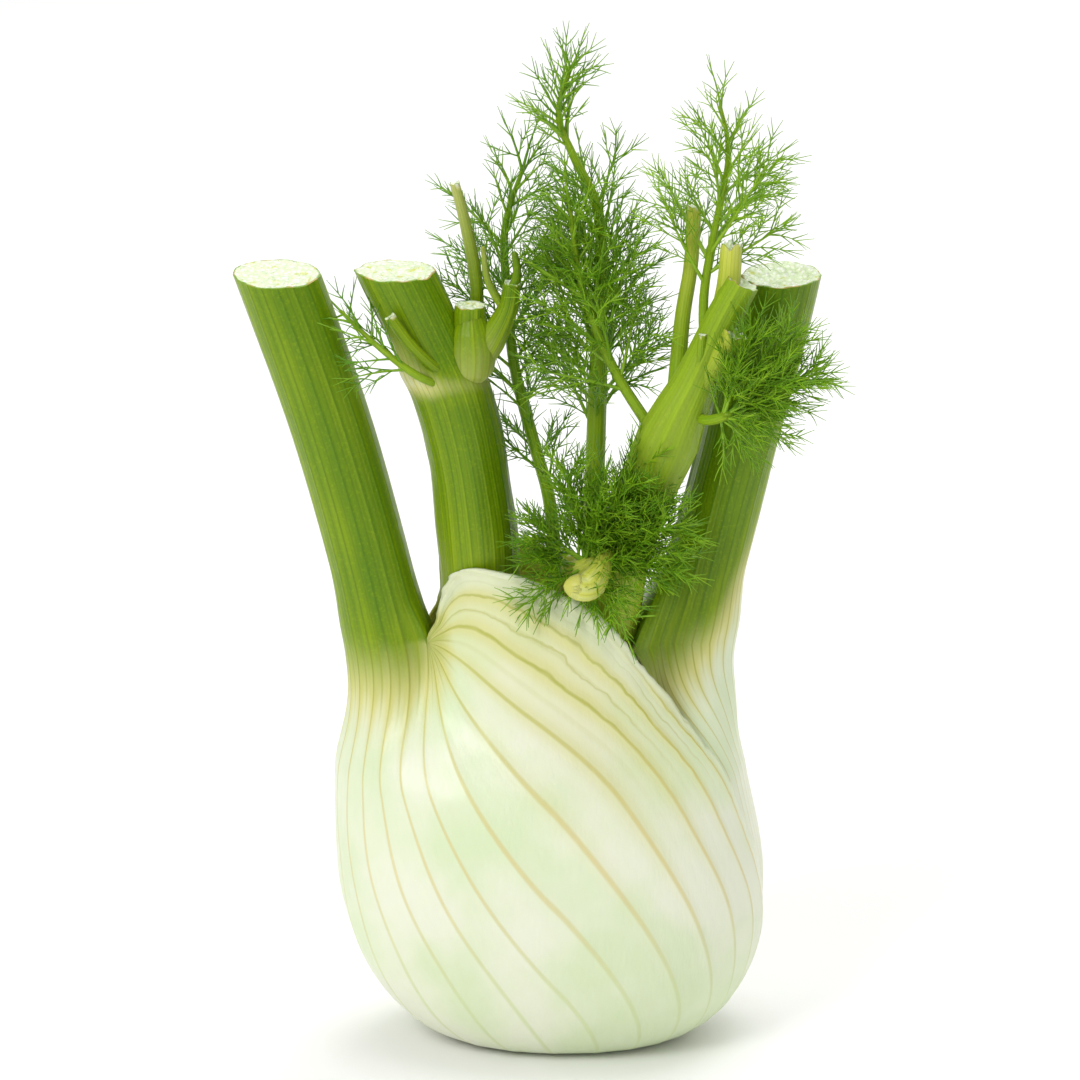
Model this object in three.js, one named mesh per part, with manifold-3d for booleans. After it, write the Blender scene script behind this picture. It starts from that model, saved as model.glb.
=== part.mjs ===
// A fennel bulb: clasping leaf bases on a trimmed root plate, four cut stalks and young feathery fronds.
// Millimetres, +Z up. The origin is the middle of the flat trimmed base. The wide face looks along -Y.

import * as THREE from 'three';
import { mergeVertices } from 'three/addons/utils/BufferGeometryUtils.js';
import Module from 'manifold-3d';

const wasm = await Module();
wasm.setup();

const { clamp, lerp, smoothstep, degToRad, radToDeg } = THREE.MathUtils;
const V = (x, y, z) => new THREE.Vector3(x, y, z);

// Bulb: half widths and half depths at the base, the belly and the neck
const BASE = { halfWidth: 21, halfDepth: 14.5 };
const BELLY = { halfWidth: 47.5, halfDepth: 33, z: 42 };
const NECK = { halfWidth: 43, halfDepth: 19, z: 92 };
const LEAN = -0.066;
const ROUNDNESS = 0.93;

// Collar: the sheath's open throat above the neck, round the middle stalk
const COLLAR = { left: -30, right: 35, leftTop: -28, halfDepthTop: 14.6, top: 112 };
const SHOULDER_START = 62;

// Sheaths: thickness, thin margin, and the clearance between leaves
const SHEATH = { thickness: 4.7, throat: 1.5, margin: 1.1, marginFrom: 0.82, columns: 24, rows: 12 };
const RIGHT_SHEATH = { thickness: 3, tuck: 5, from: 0.6, columns: 12, rows: 10 };
const STEP_UNDER_MARGIN = 1.7;
const GAP = 0.36;
const HAIR = 0.02;

// Inner leaf bases: where the wide part ends, where the throat part starts and how its top is domed
const HEART = { slack: 1.25, shoulder: 84, throatStart: 66, top: 101, dome: 7 };

// Stalks: their cut heights, level sections, and where each one leaves the bulb
const CUT_Z = 174;
const RIGHT_CUT_Z = 172.6;
const LEFT_STALK = {
  x: -38.9, slope: -0.2006, bend: -0.00102, y: 0, back: 0, z: 92, half: 9.2, foot: 0.7, depth: 8.6,
};
const RIGHT_STALK = {
  x: 27.1, slope: 0.245, bend: 0, y: 0, back: 0.05, z: 92, half: 8.6, foot: 1.8, depth: 8.3,
};
const MIDDLE_STALK = {
  x: -18.6, slope: -0.0513, bend: -0.00275, y: -0.8, back: 0, z: 110, half: 8.6, foot: 0, depth: 8.3,
};
const MIDDLE_NODE = { z: 152, slope: -0.48, swell: 0.7 };
const MIDDLE_LEAF = { bottom: 90, top: 175, topInset: 0.2 };

// Small cut stems on the middle leaf: the pale stub, the forked stem, its two forks, a stick and a twig
const MIDDLE_STEMS = [
  { points: [V(-22.5, -3, 148), V(-21, -3.2, 158), V(-20.5, -3.2, 168)], radii: [4.2, 3.6, 3.3] },
  { points: [V(-18, -3.4, 150), V(-15.4, -5, 161), V(-12.2, -5.2, 168), V(-11.4, -5.2, 173.5)],
    radii: [4, 3, 2.3, 1.8] },
  { points: [V(-12.6, -5.2, 166.5), V(-16.6, -5.6, 174), V(-17.7, -5.6, 181.4)], radii: [0.9, 0.8, 0.5] },
  { points: [V(-11.6, -5.2, 171), V(-10.4, -5, 176), V(-10.9, -5, 180)], radii: [1.1, 0.9, 0.7] },
  { points: [V(-19.5, 2, 150), V(-19.2, 2.4, 171), V(-21.4, 2.2, 184), V(-23.8, 2, 193.8)],
    radii: [1.6, 1.4, 1.3, 1] },
  { points: [V(-25.5, -7, 152.6), V(-33, -10.6, 161), V(-37.7, -10.8, 167.6)], radii: [1.5, 1.2, 1.2] },
];

// Young side shoot: its main stem, the torn, round and low cut stubs, a thin stem and a pale stick
const SHOOT_STEMS = [
  { points: [V(10, -5, 91), V(12, -7, 110), V(16, -8.6, 124), V(21, -11, 137), V(24.5, -12, 146),
    V(29, -12.5, 156), V(33.5, -12.5, 167), V(38, -12.5, 175.7)],
    radii: [5.4, 5.8, 6, 6.1, 6.4, 5, 3.9, 3.6], sides: 12 },
  { points: [V(33, -12.3, 164), V(35, -11, 175), V(35.6, -10.6, 183.5)], radii: [2.8, 2.4, 2.2], sides: 9 },
  { points: [V(27.5, -13.5, 150), V(32.5, -16, 158.5), V(36.4, -17, 165.5)], radii: [2, 2.1, 2.6], sides: 9 },
  { points: [V(26.4, -13.5, 150), V(28.8, -15.6, 158), V(29.4, -15.8, 165)], radii: [1.3, 1, 0.9], sides: 6 },
  { points: [V(23.4, -9.5, 144), V(25.3, -5, 166), V(27, -4, 177), V(27.7, -4, 190.4)],
    radii: [2, 1.7, 1.5, 1.5], sides: 8 },
];

// Vein fan: the crotch where the veins of the outer sheath meet, and the angle they reach at the base
const CROTCH = { angle: 50, z: 92, share: 0.48, stalkAngle: 135, collarAngle: 20, blend: 12 };
const BASE_ANGLE = 172;

// Threads of the fronds
const THREAD = { thickness: 0.66, rib: 0.5, root: 0.42, tip: 0.08, lean: 42, clearance: 0.4 };
const GOLDEN_ANGLE = 2.39996;

// Solids

/** Turns a closed geometry into a solid that can be joined and cut. */
function solid(geometry) {
  geometry.deleteAttribute('normal');
  geometry.deleteAttribute('uv');
  const merged = mergeVertices(geometry, 1e-4);
  const corners = [];
  const index = merged.index.array;
  for (let i = 0; i < index.length; i += 3) {
    const [a, b, c] = [index[i], index[i + 1], index[i + 2]];
    if (a !== b && b !== c && c !== a) corners.push(a, b, c);
  }
  const vertProperties = new Float32Array(merged.attributes.position.array);
  const triVerts = new Uint32Array(corners);
  return new wasm.Manifold(new wasm.Mesh({ numProp: 3, vertProperties, triVerts }));
}

/** Joins solids and keeps the largest body of what comes out. */
function join(solids) {
  return largest(wasm.Manifold.union(solids));
}

/** The largest separate body of a solid. */
function largest(body) {
  const bodies = body.simplify(0.02).decompose();
  return bodies.reduce((a, b) => (b.volume() > a.volume() ? b : a));
}

/** A named mesh from a solid. */
function mesh(name, body, material) {
  const { vertProperties, triVerts, numProp } = body.getMesh();
  const positions = [];
  for (let i = 0; i < vertProperties.length; i += numProp) {
    positions.push(vertProperties[i], vertProperties[i + 1], vertProperties[i + 2]);
  }
  const geometry = new THREE.BufferGeometry();
  geometry.setAttribute('position', new THREE.Float32BufferAttribute(positions, 3));
  geometry.setIndex(Array.from(triVerts));
  geometry.computeVertexNormals();
  const result = new THREE.Mesh(geometry, material);
  result.name = name;
  return result;
}

/** A closed block between two grids of points, outer(i, j) and inner(i, j). */
function gridBlock(outer, inner, columns, rows) {
  const positions = [];
  const index = [];
  const at = (side, i, j) => side * (columns + 1) * (rows + 1) + i * (rows + 1) + j;
  for (const grid of [outer, inner]) {
    for (let i = 0; i <= columns; i += 1) {
      for (let j = 0; j <= rows; j += 1) positions.push(...grid(i, j).toArray());
    }
  }
  const quad = (a, b, c, d) => index.push(a, b, c, a, c, d);
  for (let i = 0; i < columns; i += 1) {
    for (let j = 0; j < rows; j += 1) {
      quad(at(0, i, j), at(0, i, j + 1), at(0, i + 1, j + 1), at(0, i + 1, j));
      quad(at(1, i, j), at(1, i + 1, j), at(1, i + 1, j + 1), at(1, i, j + 1));
    }
    quad(at(0, i, 0), at(0, i + 1, 0), at(1, i + 1, 0), at(1, i, 0));
    quad(at(0, i, rows), at(1, i, rows), at(1, i + 1, rows), at(0, i + 1, rows));
  }
  for (let j = 0; j < rows; j += 1) {
    quad(at(0, 0, j), at(1, 0, j), at(1, 0, j + 1), at(0, 0, j + 1));
    quad(at(0, columns, j), at(0, columns, j + 1), at(1, columns, j + 1), at(1, columns, j));
  }
  const geometry = new THREE.BufferGeometry();
  geometry.setAttribute('position', new THREE.Float32BufferAttribute(positions, 3));
  geometry.setIndex(index);
  return solid(geometry);
}

/** A closed stack of level rings: ring(angle, level) gives a point, with level from 0 to 1. */
function ringStack(ring, sides, levels) {
  const geometry = new THREE.CylinderGeometry(1, 1, 1, sides, levels);
  const position = geometry.attributes.position;
  for (let i = 0; i < position.count; i += 1) {
    const p = V(0, 0, 0).fromBufferAttribute(position, i);
    const level = p.y + 0.5;
    const centre = ring(0, level).add(ring(Math.PI, level)).multiplyScalar(0.5);
    const spot = Math.hypot(p.x, p.z) < 0.5 ? centre : ring(Math.atan2(p.z, -p.x), level);
    position.setXYZ(i, spot.x, spot.y, spot.z);
  }
  return solid(geometry);
}

/** A round rod along a smooth curve through points, its radius running through radii. */
function rod(points, radii, sides, steps, grow = 0) {
  const curve = new THREE.CatmullRomCurve3(points);
  const frames = curve.computeFrenetFrames(steps, false);
  const geometry = new THREE.CylinderGeometry(1, 1, 1, sides, steps);
  const position = geometry.attributes.position;
  for (let i = 0; i < position.count; i += 1) {
    const p = V(0, 0, 0).fromBufferAttribute(position, i);
    const step = Math.round((p.y + 0.5) * steps);
    const radius = alongList(radii, step / steps) + grow;
    const spot = curve.getPointAt(step / steps);
    spot.addScaledVector(frames.normals[step], p.x * radius);
    spot.addScaledVector(frames.binormals[step], -p.z * radius);
    position.setXYZ(i, spot.x, spot.y, spot.z);
  }
  return solid(geometry);
}

/** The value of a list of evenly spaced numbers at t, from 0 to 1. */
function alongList(values, t) {
  const place = t * (values.length - 1);
  const i = Math.min(Math.floor(place), values.length - 2);
  return lerp(values[i], values[i + 1], place - i);
}

// Bulb surface

/** Raises the size of a number to a power and keeps its sign. */
function signedPower(value, power) {
  return Math.sign(value) * Math.abs(value) ** power;
}

/** A point of the round bulb at an angle in degrees from the left side, through the front. */
function roundPoint(angle, z, inset) {
  const low = Math.min(Math.max(z, 0) / BELLY.z, 1);
  const rise = Math.sqrt(1 - (1 - low) ** 2);
  const fall = smoothstep(z, BELLY.z, NECK.z);
  const width = lerp(BASE.halfWidth, BELLY.halfWidth, rise) - (BELLY.halfWidth - NECK.halfWidth) * fall;
  const depth = lerp(BASE.halfDepth, BELLY.halfDepth, rise) - (BELLY.halfDepth - NECK.halfDepth) * fall;
  const turn = degToRad(angle);
  const x = LEAN * z - (width - inset) * signedPower(Math.cos(turn), ROUNDNESS);
  return V(x, -(depth - inset) * signedPower(Math.sin(turn), ROUNDNESS), z);
}

/** A point of a stalk's level section, at an angle in degrees from its left side. */
function stalkPoint(stalk, angle, z, inset) {
  const up = z - stalk.z;
  const foot = stalk.foot * (1 - smoothstep(z, stalk.z, stalk.z + 16));
  const turn = degToRad(angle);
  const x = stalk.x + stalk.slope * up + stalk.bend * up * up;
  const half = stalk.half + foot - inset;
  return V(x - half * Math.cos(turn), stalk.y + stalk.back * up - (stalk.depth - inset) * Math.sin(turn), z);
}

/** A point of the collar, at an angle in degrees from its left side, through the front. */
function collarPoint(angle, z, inset) {
  const up = smoothstep(z, NECK.z, COLLAR.top);
  const left = lerp(COLLAR.left, COLLAR.leftTop, up);
  const depth = lerp(NECK.halfDepth, COLLAR.halfDepthTop, up) - inset;
  const half = (COLLAR.right - left) / 2 - inset;
  const turn = degToRad(angle);
  const x = (COLLAR.right + left) / 2 - half * signedPower(Math.cos(turn), ROUNDNESS);
  return V(x, -depth * signedPower(Math.sin(turn), ROUNDNESS), z);
}

/** A point of the outer sheath: the round bulb below, the stalk and the collar side by side above. */
function sheathPoint(angle, z, inset) {
  const size = Math.abs(angle);
  const stalkTurn = (size / CROTCH.angle) * CROTCH.stalkAngle;
  const collarShare = (180 - CROTCH.collarAngle) / (180 - CROTCH.angle);
  const collarTurn = CROTCH.collarAngle + (size - CROTCH.angle) * collarShare;
  const side = smoothstep(size, CROTCH.angle - CROTCH.blend, CROTCH.angle + CROTCH.blend);
  const toCollar = lerp(side, 1, smoothstep(z, CROTCH.z, CROTCH.z + 6));
  const upper = stalkPoint(LEFT_STALK, Math.min(stalkTurn, 180), z, inset);
  upper.lerp(collarPoint(collarTurn, z, inset), toCollar);
  const point = roundPoint(size, z, inset).lerp(upper, smoothstep(z, SHOULDER_START, CROTCH.z));
  if (angle < 0) point.y = -point.y;
  return point;
}

/** The angle and height where vein number u, from 0 at the stalk to 1 at the margin, is at t along it. */
function veinPlace(u, t) {
  const end = new THREE.Vector2(BASE_ANGLE * Math.sin((Math.PI / 2) * u ** 1.2), 0);
  const fan = Math.max(0, (u - CROTCH.share) / (1 - CROTCH.share));
  const start = new THREE.Vector2(CROTCH.angle * Math.min(u / CROTCH.share, 1), CROTCH.z);
  const swing = degToRad(-90 + 200 * fan);
  const reach = 30 + 10 * fan;
  const first = new THREE.Vector2(Math.cos(swing), Math.sin(swing)).multiplyScalar(reach).add(start);
  const second = new THREE.Vector2(86 * Math.min(u / CROTCH.share, 1) + 74 * fan ** 1.3, 28 + 86 * fan);
  return new THREE.CubicBezierCurve(start, first, second, end).getPoint(t);
}

/** The leaf left of the bulb: its sheath clasps the front and the back, and its stalk stands at the left. */
function leftLeaf(grow) {
  const { columns, rows } = SHEATH;
  const spot = (i, j, inset) => {
    const share = (2 * i) / columns - 1;
    const u = Math.abs(share) * (1 + grow * 0.03);
    const t = 1 - (1 - j / rows) ** 1.5;
    const place = veinPlace(u, t);
    const point = sheathPoint(Math.sign(share) * place.x, place.y, inset);
    if (j === rows) point.z -= grow;
    return point;
  };
  const inside = (i, j) => {
    const u = Math.abs((2 * i) / columns - 1);
    const throat = smoothstep(spot(i, j, 0).z, SHOULDER_START + 12, CROTCH.z + 4);
    const wall = lerp(SHEATH.thickness, SHEATH.throat, throat);
    return spot(i, j, lerp(wall, SHEATH.margin, smoothstep(u, SHEATH.marginFrom, 1)) + grow);
  };
  const shell = gridBlock((i, j) => spot(i, j, -grow), inside, columns, rows);
  const throat = gridBlock(
    (i, j) => collarPoint(8 * i - 32, 108 - 5 * j, 0.25 - grow),
    (i, j) => collarPoint(8 * i - 32, 108 - 5 * j, 1.6 + grow),
    8,
    4,
  );
  const stalk = stalkStack(LEFT_STALK, 84, CUT_Z, 16, 7, grow);
  return wasm.Manifold.union([shell, throat, stalk]);
}

/** A stalk as a stack of level rings from one height to another. */
function stalkStack(stalk, bottom, top, sides, levels, grow) {
  const ring = (turn, level) => stalkPoint(stalk, radToDeg(turn), lerp(bottom, top, level), HAIR - grow);
  return ringStack(ring, sides, levels);
}

/** A point of the right leaf's sheath, at an angle in degrees from the right side. */
function rightSheathPoint(angle, z, inset) {
  const size = Math.abs(angle);
  const tuck = smoothstep(size, CROTCH.angle - CROTCH.blend, CROTCH.angle + CROTCH.blend);
  const stalkTurn = Math.min((size / CROTCH.angle) * CROTCH.stalkAngle, 180);
  const upper = stalkPoint(RIGHT_STALK, 180 - stalkTurn, z, inset);
  upper.lerp(collarPoint(180 - size, z, inset + SHEATH.thickness + GAP), tuck);
  const point = roundPoint(180 - size, z, inset + STEP_UNDER_MARGIN);
  point.lerp(upper, smoothstep(z, SHOULDER_START, CROTCH.z));
  if (angle < 0) point.y = -point.y;
  return point;
}

/** The leaf right of the bulb: its sheath lies under the margins of the outer sheath. */
function rightLeaf(grow) {
  const { tuck, from, columns, rows } = RIGHT_SHEATH;
  const spot = (i, j, inset) => {
    const margin = veinPlace(1, lerp(from, 1, 1 - (1 - j / rows) ** 1.5));
    const span = 180 - margin.x + tuck + 3 * grow;
    const point = rightSheathPoint(lerp(-span, span, i / columns), margin.y, inset);
    if (j === rows) point.z -= grow;
    return point;
  };
  const shell = gridBlock(
    (i, j) => spot(columns - i, j, -grow),
    (i, j) => spot(columns - i, j, RIGHT_SHEATH.thickness + grow),
    columns,
    rows,
  );
  return wasm.Manifold.union([shell, stalkStack(RIGHT_STALK, 82, RIGHT_CUT_Z, 16, 6, grow)]);
}

/** The inner leaf bases and the trimmed root plate, which the two outer leaves clasp. */
function heart() {
  const inset = SHEATH.thickness + HEART.slack;
  const lower = ringStack(
    (turn, level) => sheathPoint(radToDeg(turn), HEART.shoulder * level ** 1.6, inset),
    20,
    8,
  );
  const upper = ringStack(
    (turn, level) => {
      const z = lerp(HEART.throatStart, HEART.top, level);
      const dome = HEART.dome * smoothstep(z, NECK.z - 2, HEART.top + 3);
      return collarPoint(radToDeg(turn), z, inset + dome);
    },
    16,
    5,
  );
  return wasm.Manifold.union([lower, upper]);
}

/** The middle leaf: a stalk with a swollen node, a leaning cut stem and small cut side stems above it. */
function middleLeaf(grow) {
  const stalk = ringStack(
    (turn, level) => {
      const z = lerp(MIDDLE_LEAF.bottom, MIDDLE_NODE.z, level);
      const swell = MIDDLE_NODE.swell * smoothstep(z, MIDDLE_NODE.z - 6, MIDDLE_NODE.z - 1);
      return stalkPoint(MIDDLE_STALK, radToDeg(turn), z, -swell - grow);
    },
    18,
    9,
  );
  const top = ringStack(
    (turn, level) => {
      const z = lerp(MIDDLE_NODE.z - 2, MIDDLE_LEAF.top, level);
      const point = stalkPoint(MIDDLE_STALK, radToDeg(turn), MIDDLE_NODE.z, MIDDLE_LEAF.topInset - grow);
      return V(point.x + MIDDLE_NODE.slope * (z - MIDDLE_NODE.z), point.y, z);
    },
    18,
    3,
  );
  const parts = MIDDLE_STEMS.map((stem) => rod(stem.points, stem.radii, 8, 6, grow));
  return wasm.Manifold.union([stalk, top, ...parts]);
}

/** The thick young side shoot, with its torn and cut stubs. */
function rightShoot() {
  return wasm.Manifold.union(SHOOT_STEMS.map((stem) => rod(stem.points, stem.radii, stem.sides, 8)));
}

// Fronds

/** A seeded source of numbers between 0 and 1. */
function seeded(seed) {
  let state = seed;
  return () => {
    state = (state + 0x6d2b79f5) | 0;
    let t = Math.imul(state ^ (state >>> 15), 1 | state);
    t = (t + Math.imul(t ^ (t >>> 7), 61 | t)) ^ t;
    return ((t ^ (t >>> 14)) >>> 0) / 4294967296;
  };
}

/** The shortest distance between the segments a to b and c to d. */
function segmentDistance(a, b, c, d) {
  const u = b.clone().sub(a);
  const v = d.clone().sub(c);
  const w = a.clone().sub(c);
  const [uu, uv, vv, uw, vw] = [u.dot(u), u.dot(v), v.dot(v), u.dot(w), v.dot(w)];
  const spread = uu * vv - uv * uv;
  let s = spread > 1e-9 ? clamp((uv * vw - vv * uw) / spread, 0, 1) : 0;
  const t = clamp((uv * s + vw) / vv, 0, 1);
  s = clamp((uv * t - uw) / uu, 0, 1);
  return w.addScaledVector(u, s).addScaledVector(v, -t).length();
}

/** Whether a point is within the bulb or its collar. */
function insideBulb(p) {
  const rim = 110 - 0.5 * Math.max(0, p.x + 10);
  if (p.z > rim + 1) return false;
  const wall = p.z < NECK.z ? roundPoint(90, p.z, -1) : collarPoint(90, p.z, -1);
  const side = p.z < NECK.z ? roundPoint(0, p.z, -1) : collarPoint(0, p.z, -1);
  return ((p.x - wall.x) / (wall.x - side.x)) ** 2 + (p.y / wall.y) ** 2 < 1;
}

/** The limbs that are already placed in other nodes, as segments with a radius. */
const placed = [];

/** Notes a rod's course, so that later fronds keep clear of it. */
function notePath(stem) {
  const curve = new THREE.CatmullRomCurve3(stem.points);
  const steps = 10;
  for (let i = 0; i < steps; i += 1) {
    const radius = Math.max(alongList(stem.radii, i / steps), alongList(stem.radii, (i + 1) / steps));
    const [a, b] = [curve.getPointAt(i / steps), curve.getPointAt((i + 1) / steps)];
    placed.push({ a, b, radius, stem });
  }
}

/** A feathery frond: a stem, side branches in turn round it, and threads along each branch. */
class Frond {
  constructor(seed, stem) {
    this.random = seeded(seed);
    this.stem = stem;
    this.curve = new THREE.CatmullRomCurve3(stem.points);
    this.bodies = [rod(stem.points, stem.radii, 5, stem.points.length + 1)];
    this.own = [];
    this.limbs = 0;
  }

  /** Whether a limb would stay clear of the other nodes and of the bulb. */
  isClear(from, to, radius) {
    for (let i = 1; i <= 4; i += 1) {
      if (insideBulb(from.clone().lerp(to, i / 4))) return false;
    }
    return placed.every((o) => {
      const room = radius + o.radius + THREAD.clearance;
      return o.stem === this.stem || segmentDistance(from, to, o.a, o.b) > room;
    });
  }

  /** A direction at a pitch from an axis, turned round it by an azimuth. */
  lean(axis, pitch, azimuth) {
    const side = V(0.13, -0.98, 0.16).cross(axis).normalize();
    const up = axis.clone().cross(side);
    const out = side.multiplyScalar(Math.cos(azimuth)).addScaledVector(up, Math.sin(azimuth));
    return axis.clone().multiplyScalar(Math.cos(pitch)).addScaledVector(out, Math.sin(pitch));
  }

  /** A flat branch from a point: a rib with threads along both edges, leaving out those that are not clear. */
  branch(from, direction, length, threads, threadLength, roll) {
    const to = from.clone().addScaledVector(direction, length);
    if (!this.isClear(from, to, THREAD.rib)) return false;
    const across = this.lean(direction, Math.PI / 2, roll);
    const facing = direction.clone().cross(across);
    const edge = (side) => {
      const points = [];
      for (let k = 0; k < threads; k += 1) {
        const along = length * (0.2 + (0.72 * (k + 0.25 + 0.35 * side + 0.3 * this.random())) / threads);
        const reach = threadLength * (1.15 - (0.6 * along) / length) * (0.75 + 0.5 * this.random());
        const lean = degToRad(THREAD.lean + 10 * this.random() - 5);
        const tip = [along + reach * Math.cos(lean), reach * Math.sin(lean)];
        const root = from.clone().addScaledVector(direction, along);
        const end = from.clone().addScaledVector(direction, tip[0]).addScaledVector(across, side * tip[1]);
        const rib = lerp(THREAD.rib, THREAD.tip, along / length);
        if (!this.isClear(root, end, THREAD.rib)) continue;
        points.push([along - THREAD.root, rib], tip, [along + THREAD.root, rib]);
        this.own.push({ a: root, b: end, radius: THREAD.root });
      }
      return points.map(([x, y]) => new THREE.Vector2(x, side * y));
    };
    const outline = [new THREE.Vector2(0, -THREAD.rib), ...edge(-1), new THREE.Vector2(length, 0)];
    outline.push(...edge(1).reverse(), new THREE.Vector2(0, THREAD.rib));
    const settings = { depth: THREAD.thickness, bevelEnabled: false };
    const blade = new THREE.ExtrudeGeometry(new THREE.Shape(outline), settings);
    blade.translate(0, 0, -THREAD.thickness / 2);
    blade.applyMatrix4(new THREE.Matrix4().makeBasis(direction, across, facing).setPosition(from));
    this.bodies.push(solid(blade));
    this.own.push({ a: from, b: to, radius: THREAD.rib });
    return true;
  }

  /** Side branches round the stem from one share of its length to another. */
  feather({ from, to, branches, reach, tipReach, pitch, threads, threadLength }) {
    for (let i = 0; i < branches; i += 1) {
      const share = lerp(from, to, (i + 0.5) / branches);
      const root = this.curve.getPoint(share);
      const axis = this.curve.getTangent(share);
      const length = lerp(reach, tipReach, (i + 0.5) / branches) * (0.8 + 0.4 * this.random());
      for (let attempt = 0; attempt < 6; attempt += 1) {
        const azimuth = (i + attempt * 0.41) * GOLDEN_ANGLE + 0.6 * this.random();
        const way = this.lean(axis, degToRad(pitch + 16 * this.random() - 8), azimuth);
        way.z += 0.12;
        if (this.branch(root, way.normalize(), length, threads, threadLength, this.random() * 3)) break;
      }
    }
    return this;
  }

  /** Joins the limbs into one body and leaves their courses for the fronds that follow. */
  finish() {
    placed.push(...this.own);
    return join(this.bodies);
  }
}

// Courses of the fronds' stems, each one rooted in the piece that carries it
const CROWN_STEM = {
  points: [V(5.6, 3, 93), V(6.3, 3, 122), V(7, 3, 145), V(7.6, 3, 168), V(7.8, 3, 180), V(6.6, 3, 189),
    V(1.4, 2.6, 200.5), V(-1.4, 2, 208), V(-0.6, 1, 217), V(2.4, 0, 228)],
  radii: [2.3, 2.1, 2, 1.8, 1.6, 1.4, 1.2, 1, 0.7, 0.4],
};
const DARK_STEM = {
  points: [V(-1.5, 1, 93), V(-3.4, 2, 122), V(-6.6, 4, 134), V(-11, 7, 151), V(-12.5, 9, 166), V(-13, 9, 182),
    V(-9, 8, 196)],
  radii: [1.5, 1.4, 1.3, 1.1, 1, 0.8, 0.4],
};
const SIDE_STEM = {
  points: [V(20, -10.5, 140), V(10.8, -6.5, 154), V(5, -5.5, 168), V(2.2, -4.5, 180), V(1, -4, 190)],
  radii: [1.3, 1.1, 0.9, 0.7, 0.4],
};
const TALL_STEM = {
  points: [V(30, -11, 158), V(29.8, -7.4, 171), V(31.6, -6, 184), V(33.4, -5, 194), V(34.8, -4, 205),
    V(34.6, -3.6, 214), V(32.7, -3, 223)],
  radii: [1.1, 1, 0.9, 0.8, 0.7, 0.55, 0.4],
};
const BUSHY_PEG = { points: [V(27, -12.5, 146), V(31, -18, 146.6), V(35, -20.5, 148.5)], radii: [1.2, 1.1, 1] };
const LOW_PEG = {
  points: [V(1.6, -3.5, 93), V(0.6, -6, 103), V(2.2, -10, 110), V(6, -12.5, 112.6)],
  radii: [1.9, 1.9, 1.8, 1.3],
};
const BUSHY_STEMS = [
  V(43, -20, 166), V(51, -18, 160), V(56, -16, 152), V(53, -20, 143), V(45, -21, 137), V(36, -22, 138),
  V(47, -25, 154),
];
const LOW_STEMS = [
  V(-8, -13, 121), V(-1, -15, 131), V(9, -20, 131), V(19, -21, 127), V(23, -22, 115), V(15, -24, 106),
  V(4, -23, 105),
];
const SPRIG_STEM = {
  points: [V(-26, -6.6, 150.6), V(-32, -11.2, 154.6), V(-38.6, -10.8, 159.5), V(-44, -6, 163), V(-48.5, -1, 166)],
  radii: [1, 0.9, 0.8, 0.6, 0.4],
};
const FROND_STEMS = [CROWN_STEM, DARK_STEM, SIDE_STEM, TALL_STEM, BUSHY_PEG, LOW_PEG, SPRIG_STEM];

/** A bushy frond: a short peg and branches that fan out from its top, each with one side branch. */
function bushyFrond(seed, peg, fan, from, threads, threadLength) {
  const frond = new Frond(seed, peg);
  const root = frond.curve.getPoint(from);
  fan.forEach((end) => {
    const way = end.clone().sub(root);
    const length = way.length();
    way.normalize();
    frond.branch(root, way, length, threads, threadLength, 3 * frond.random());
    const begin = root.clone().addScaledVector(way, 0.4 * length);
    for (let attempt = 0; attempt < 5; attempt += 1) {
      const side = frond.lean(way, degToRad(44), 6.28 * frond.random());
      const roll = 3 * frond.random();
      if (frond.branch(begin, side, 0.6 * length, threads - 3, 0.8 * threadLength, roll)) break;
    }
  });
  return frond.finish();
}

/** A hole for the root of a rod, a little wider than the rod itself. */
function socket(stem) {
  return rod(stem.points, stem.radii, 8, 8, GAP);
}

// The assembly

const left = largest(leftLeaf(0));
const leftGrown = leftLeaf(GAP).add(left);
const right = largest(rightLeaf(0).subtract(leftGrown));
const middle = largest(middleLeaf(0).subtract(leftGrown));
const shoot = rightShoot();
const shootRoot = rod(SHOOT_STEMS[0].points, SHOOT_STEMS[0].radii, 12, 8, GAP);

for (let z = 92; z < CUT_Z; z += 6) {
  for (const stalk of [LEFT_STALK, RIGHT_STALK, MIDDLE_STALK]) {
    const top = stalk === MIDDLE_STALK ? Math.min(z + 6, MIDDLE_NODE.z + 1) : z + 6;
    if (top < z) continue;
    const a = stalkPoint(stalk, 0, z, stalk.half);
    const b = stalkPoint(stalk, 0, top, stalk.half);
    placed.push({ a, b, radius: stalk.half + 0.7 });
  }
}
const nodeTop = stalkPoint(MIDDLE_STALK, 0, MIDDLE_NODE.z, MIDDLE_STALK.half);
const leanRise = MIDDLE_LEAF.top - MIDDLE_NODE.z;
const leanTop = nodeTop.clone().add(V(MIDDLE_NODE.slope * leanRise, 0, leanRise));
placed.push({ a: nodeTop, b: leanTop, radius: 8.5 });
[...MIDDLE_STEMS, ...SHOOT_STEMS, ...FROND_STEMS].forEach(notePath);

const PALE = { roughness: 0.42, metalness: 0 };
const GREEN = { roughness: 0.55, metalness: 0 };
const sheathSkin = new THREE.MeshStandardMaterial({ color: 0xe4ecd2, ...PALE });
const rightSkin = new THREE.MeshStandardMaterial({ color: 0xd9e3b4, ...PALE });
const heartSkin = new THREE.MeshStandardMaterial({ color: 0xdfe5c0, ...PALE });
const middleSkin = new THREE.MeshStandardMaterial({ color: 0x7f9f1e, ...GREEN });
const shootSkin = new THREE.MeshStandardMaterial({ color: 0xa9b83a, ...GREEN });
const frondSkin = new THREE.MeshStandardMaterial({ color: 0x4f8a16, ...GREEN });

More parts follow.
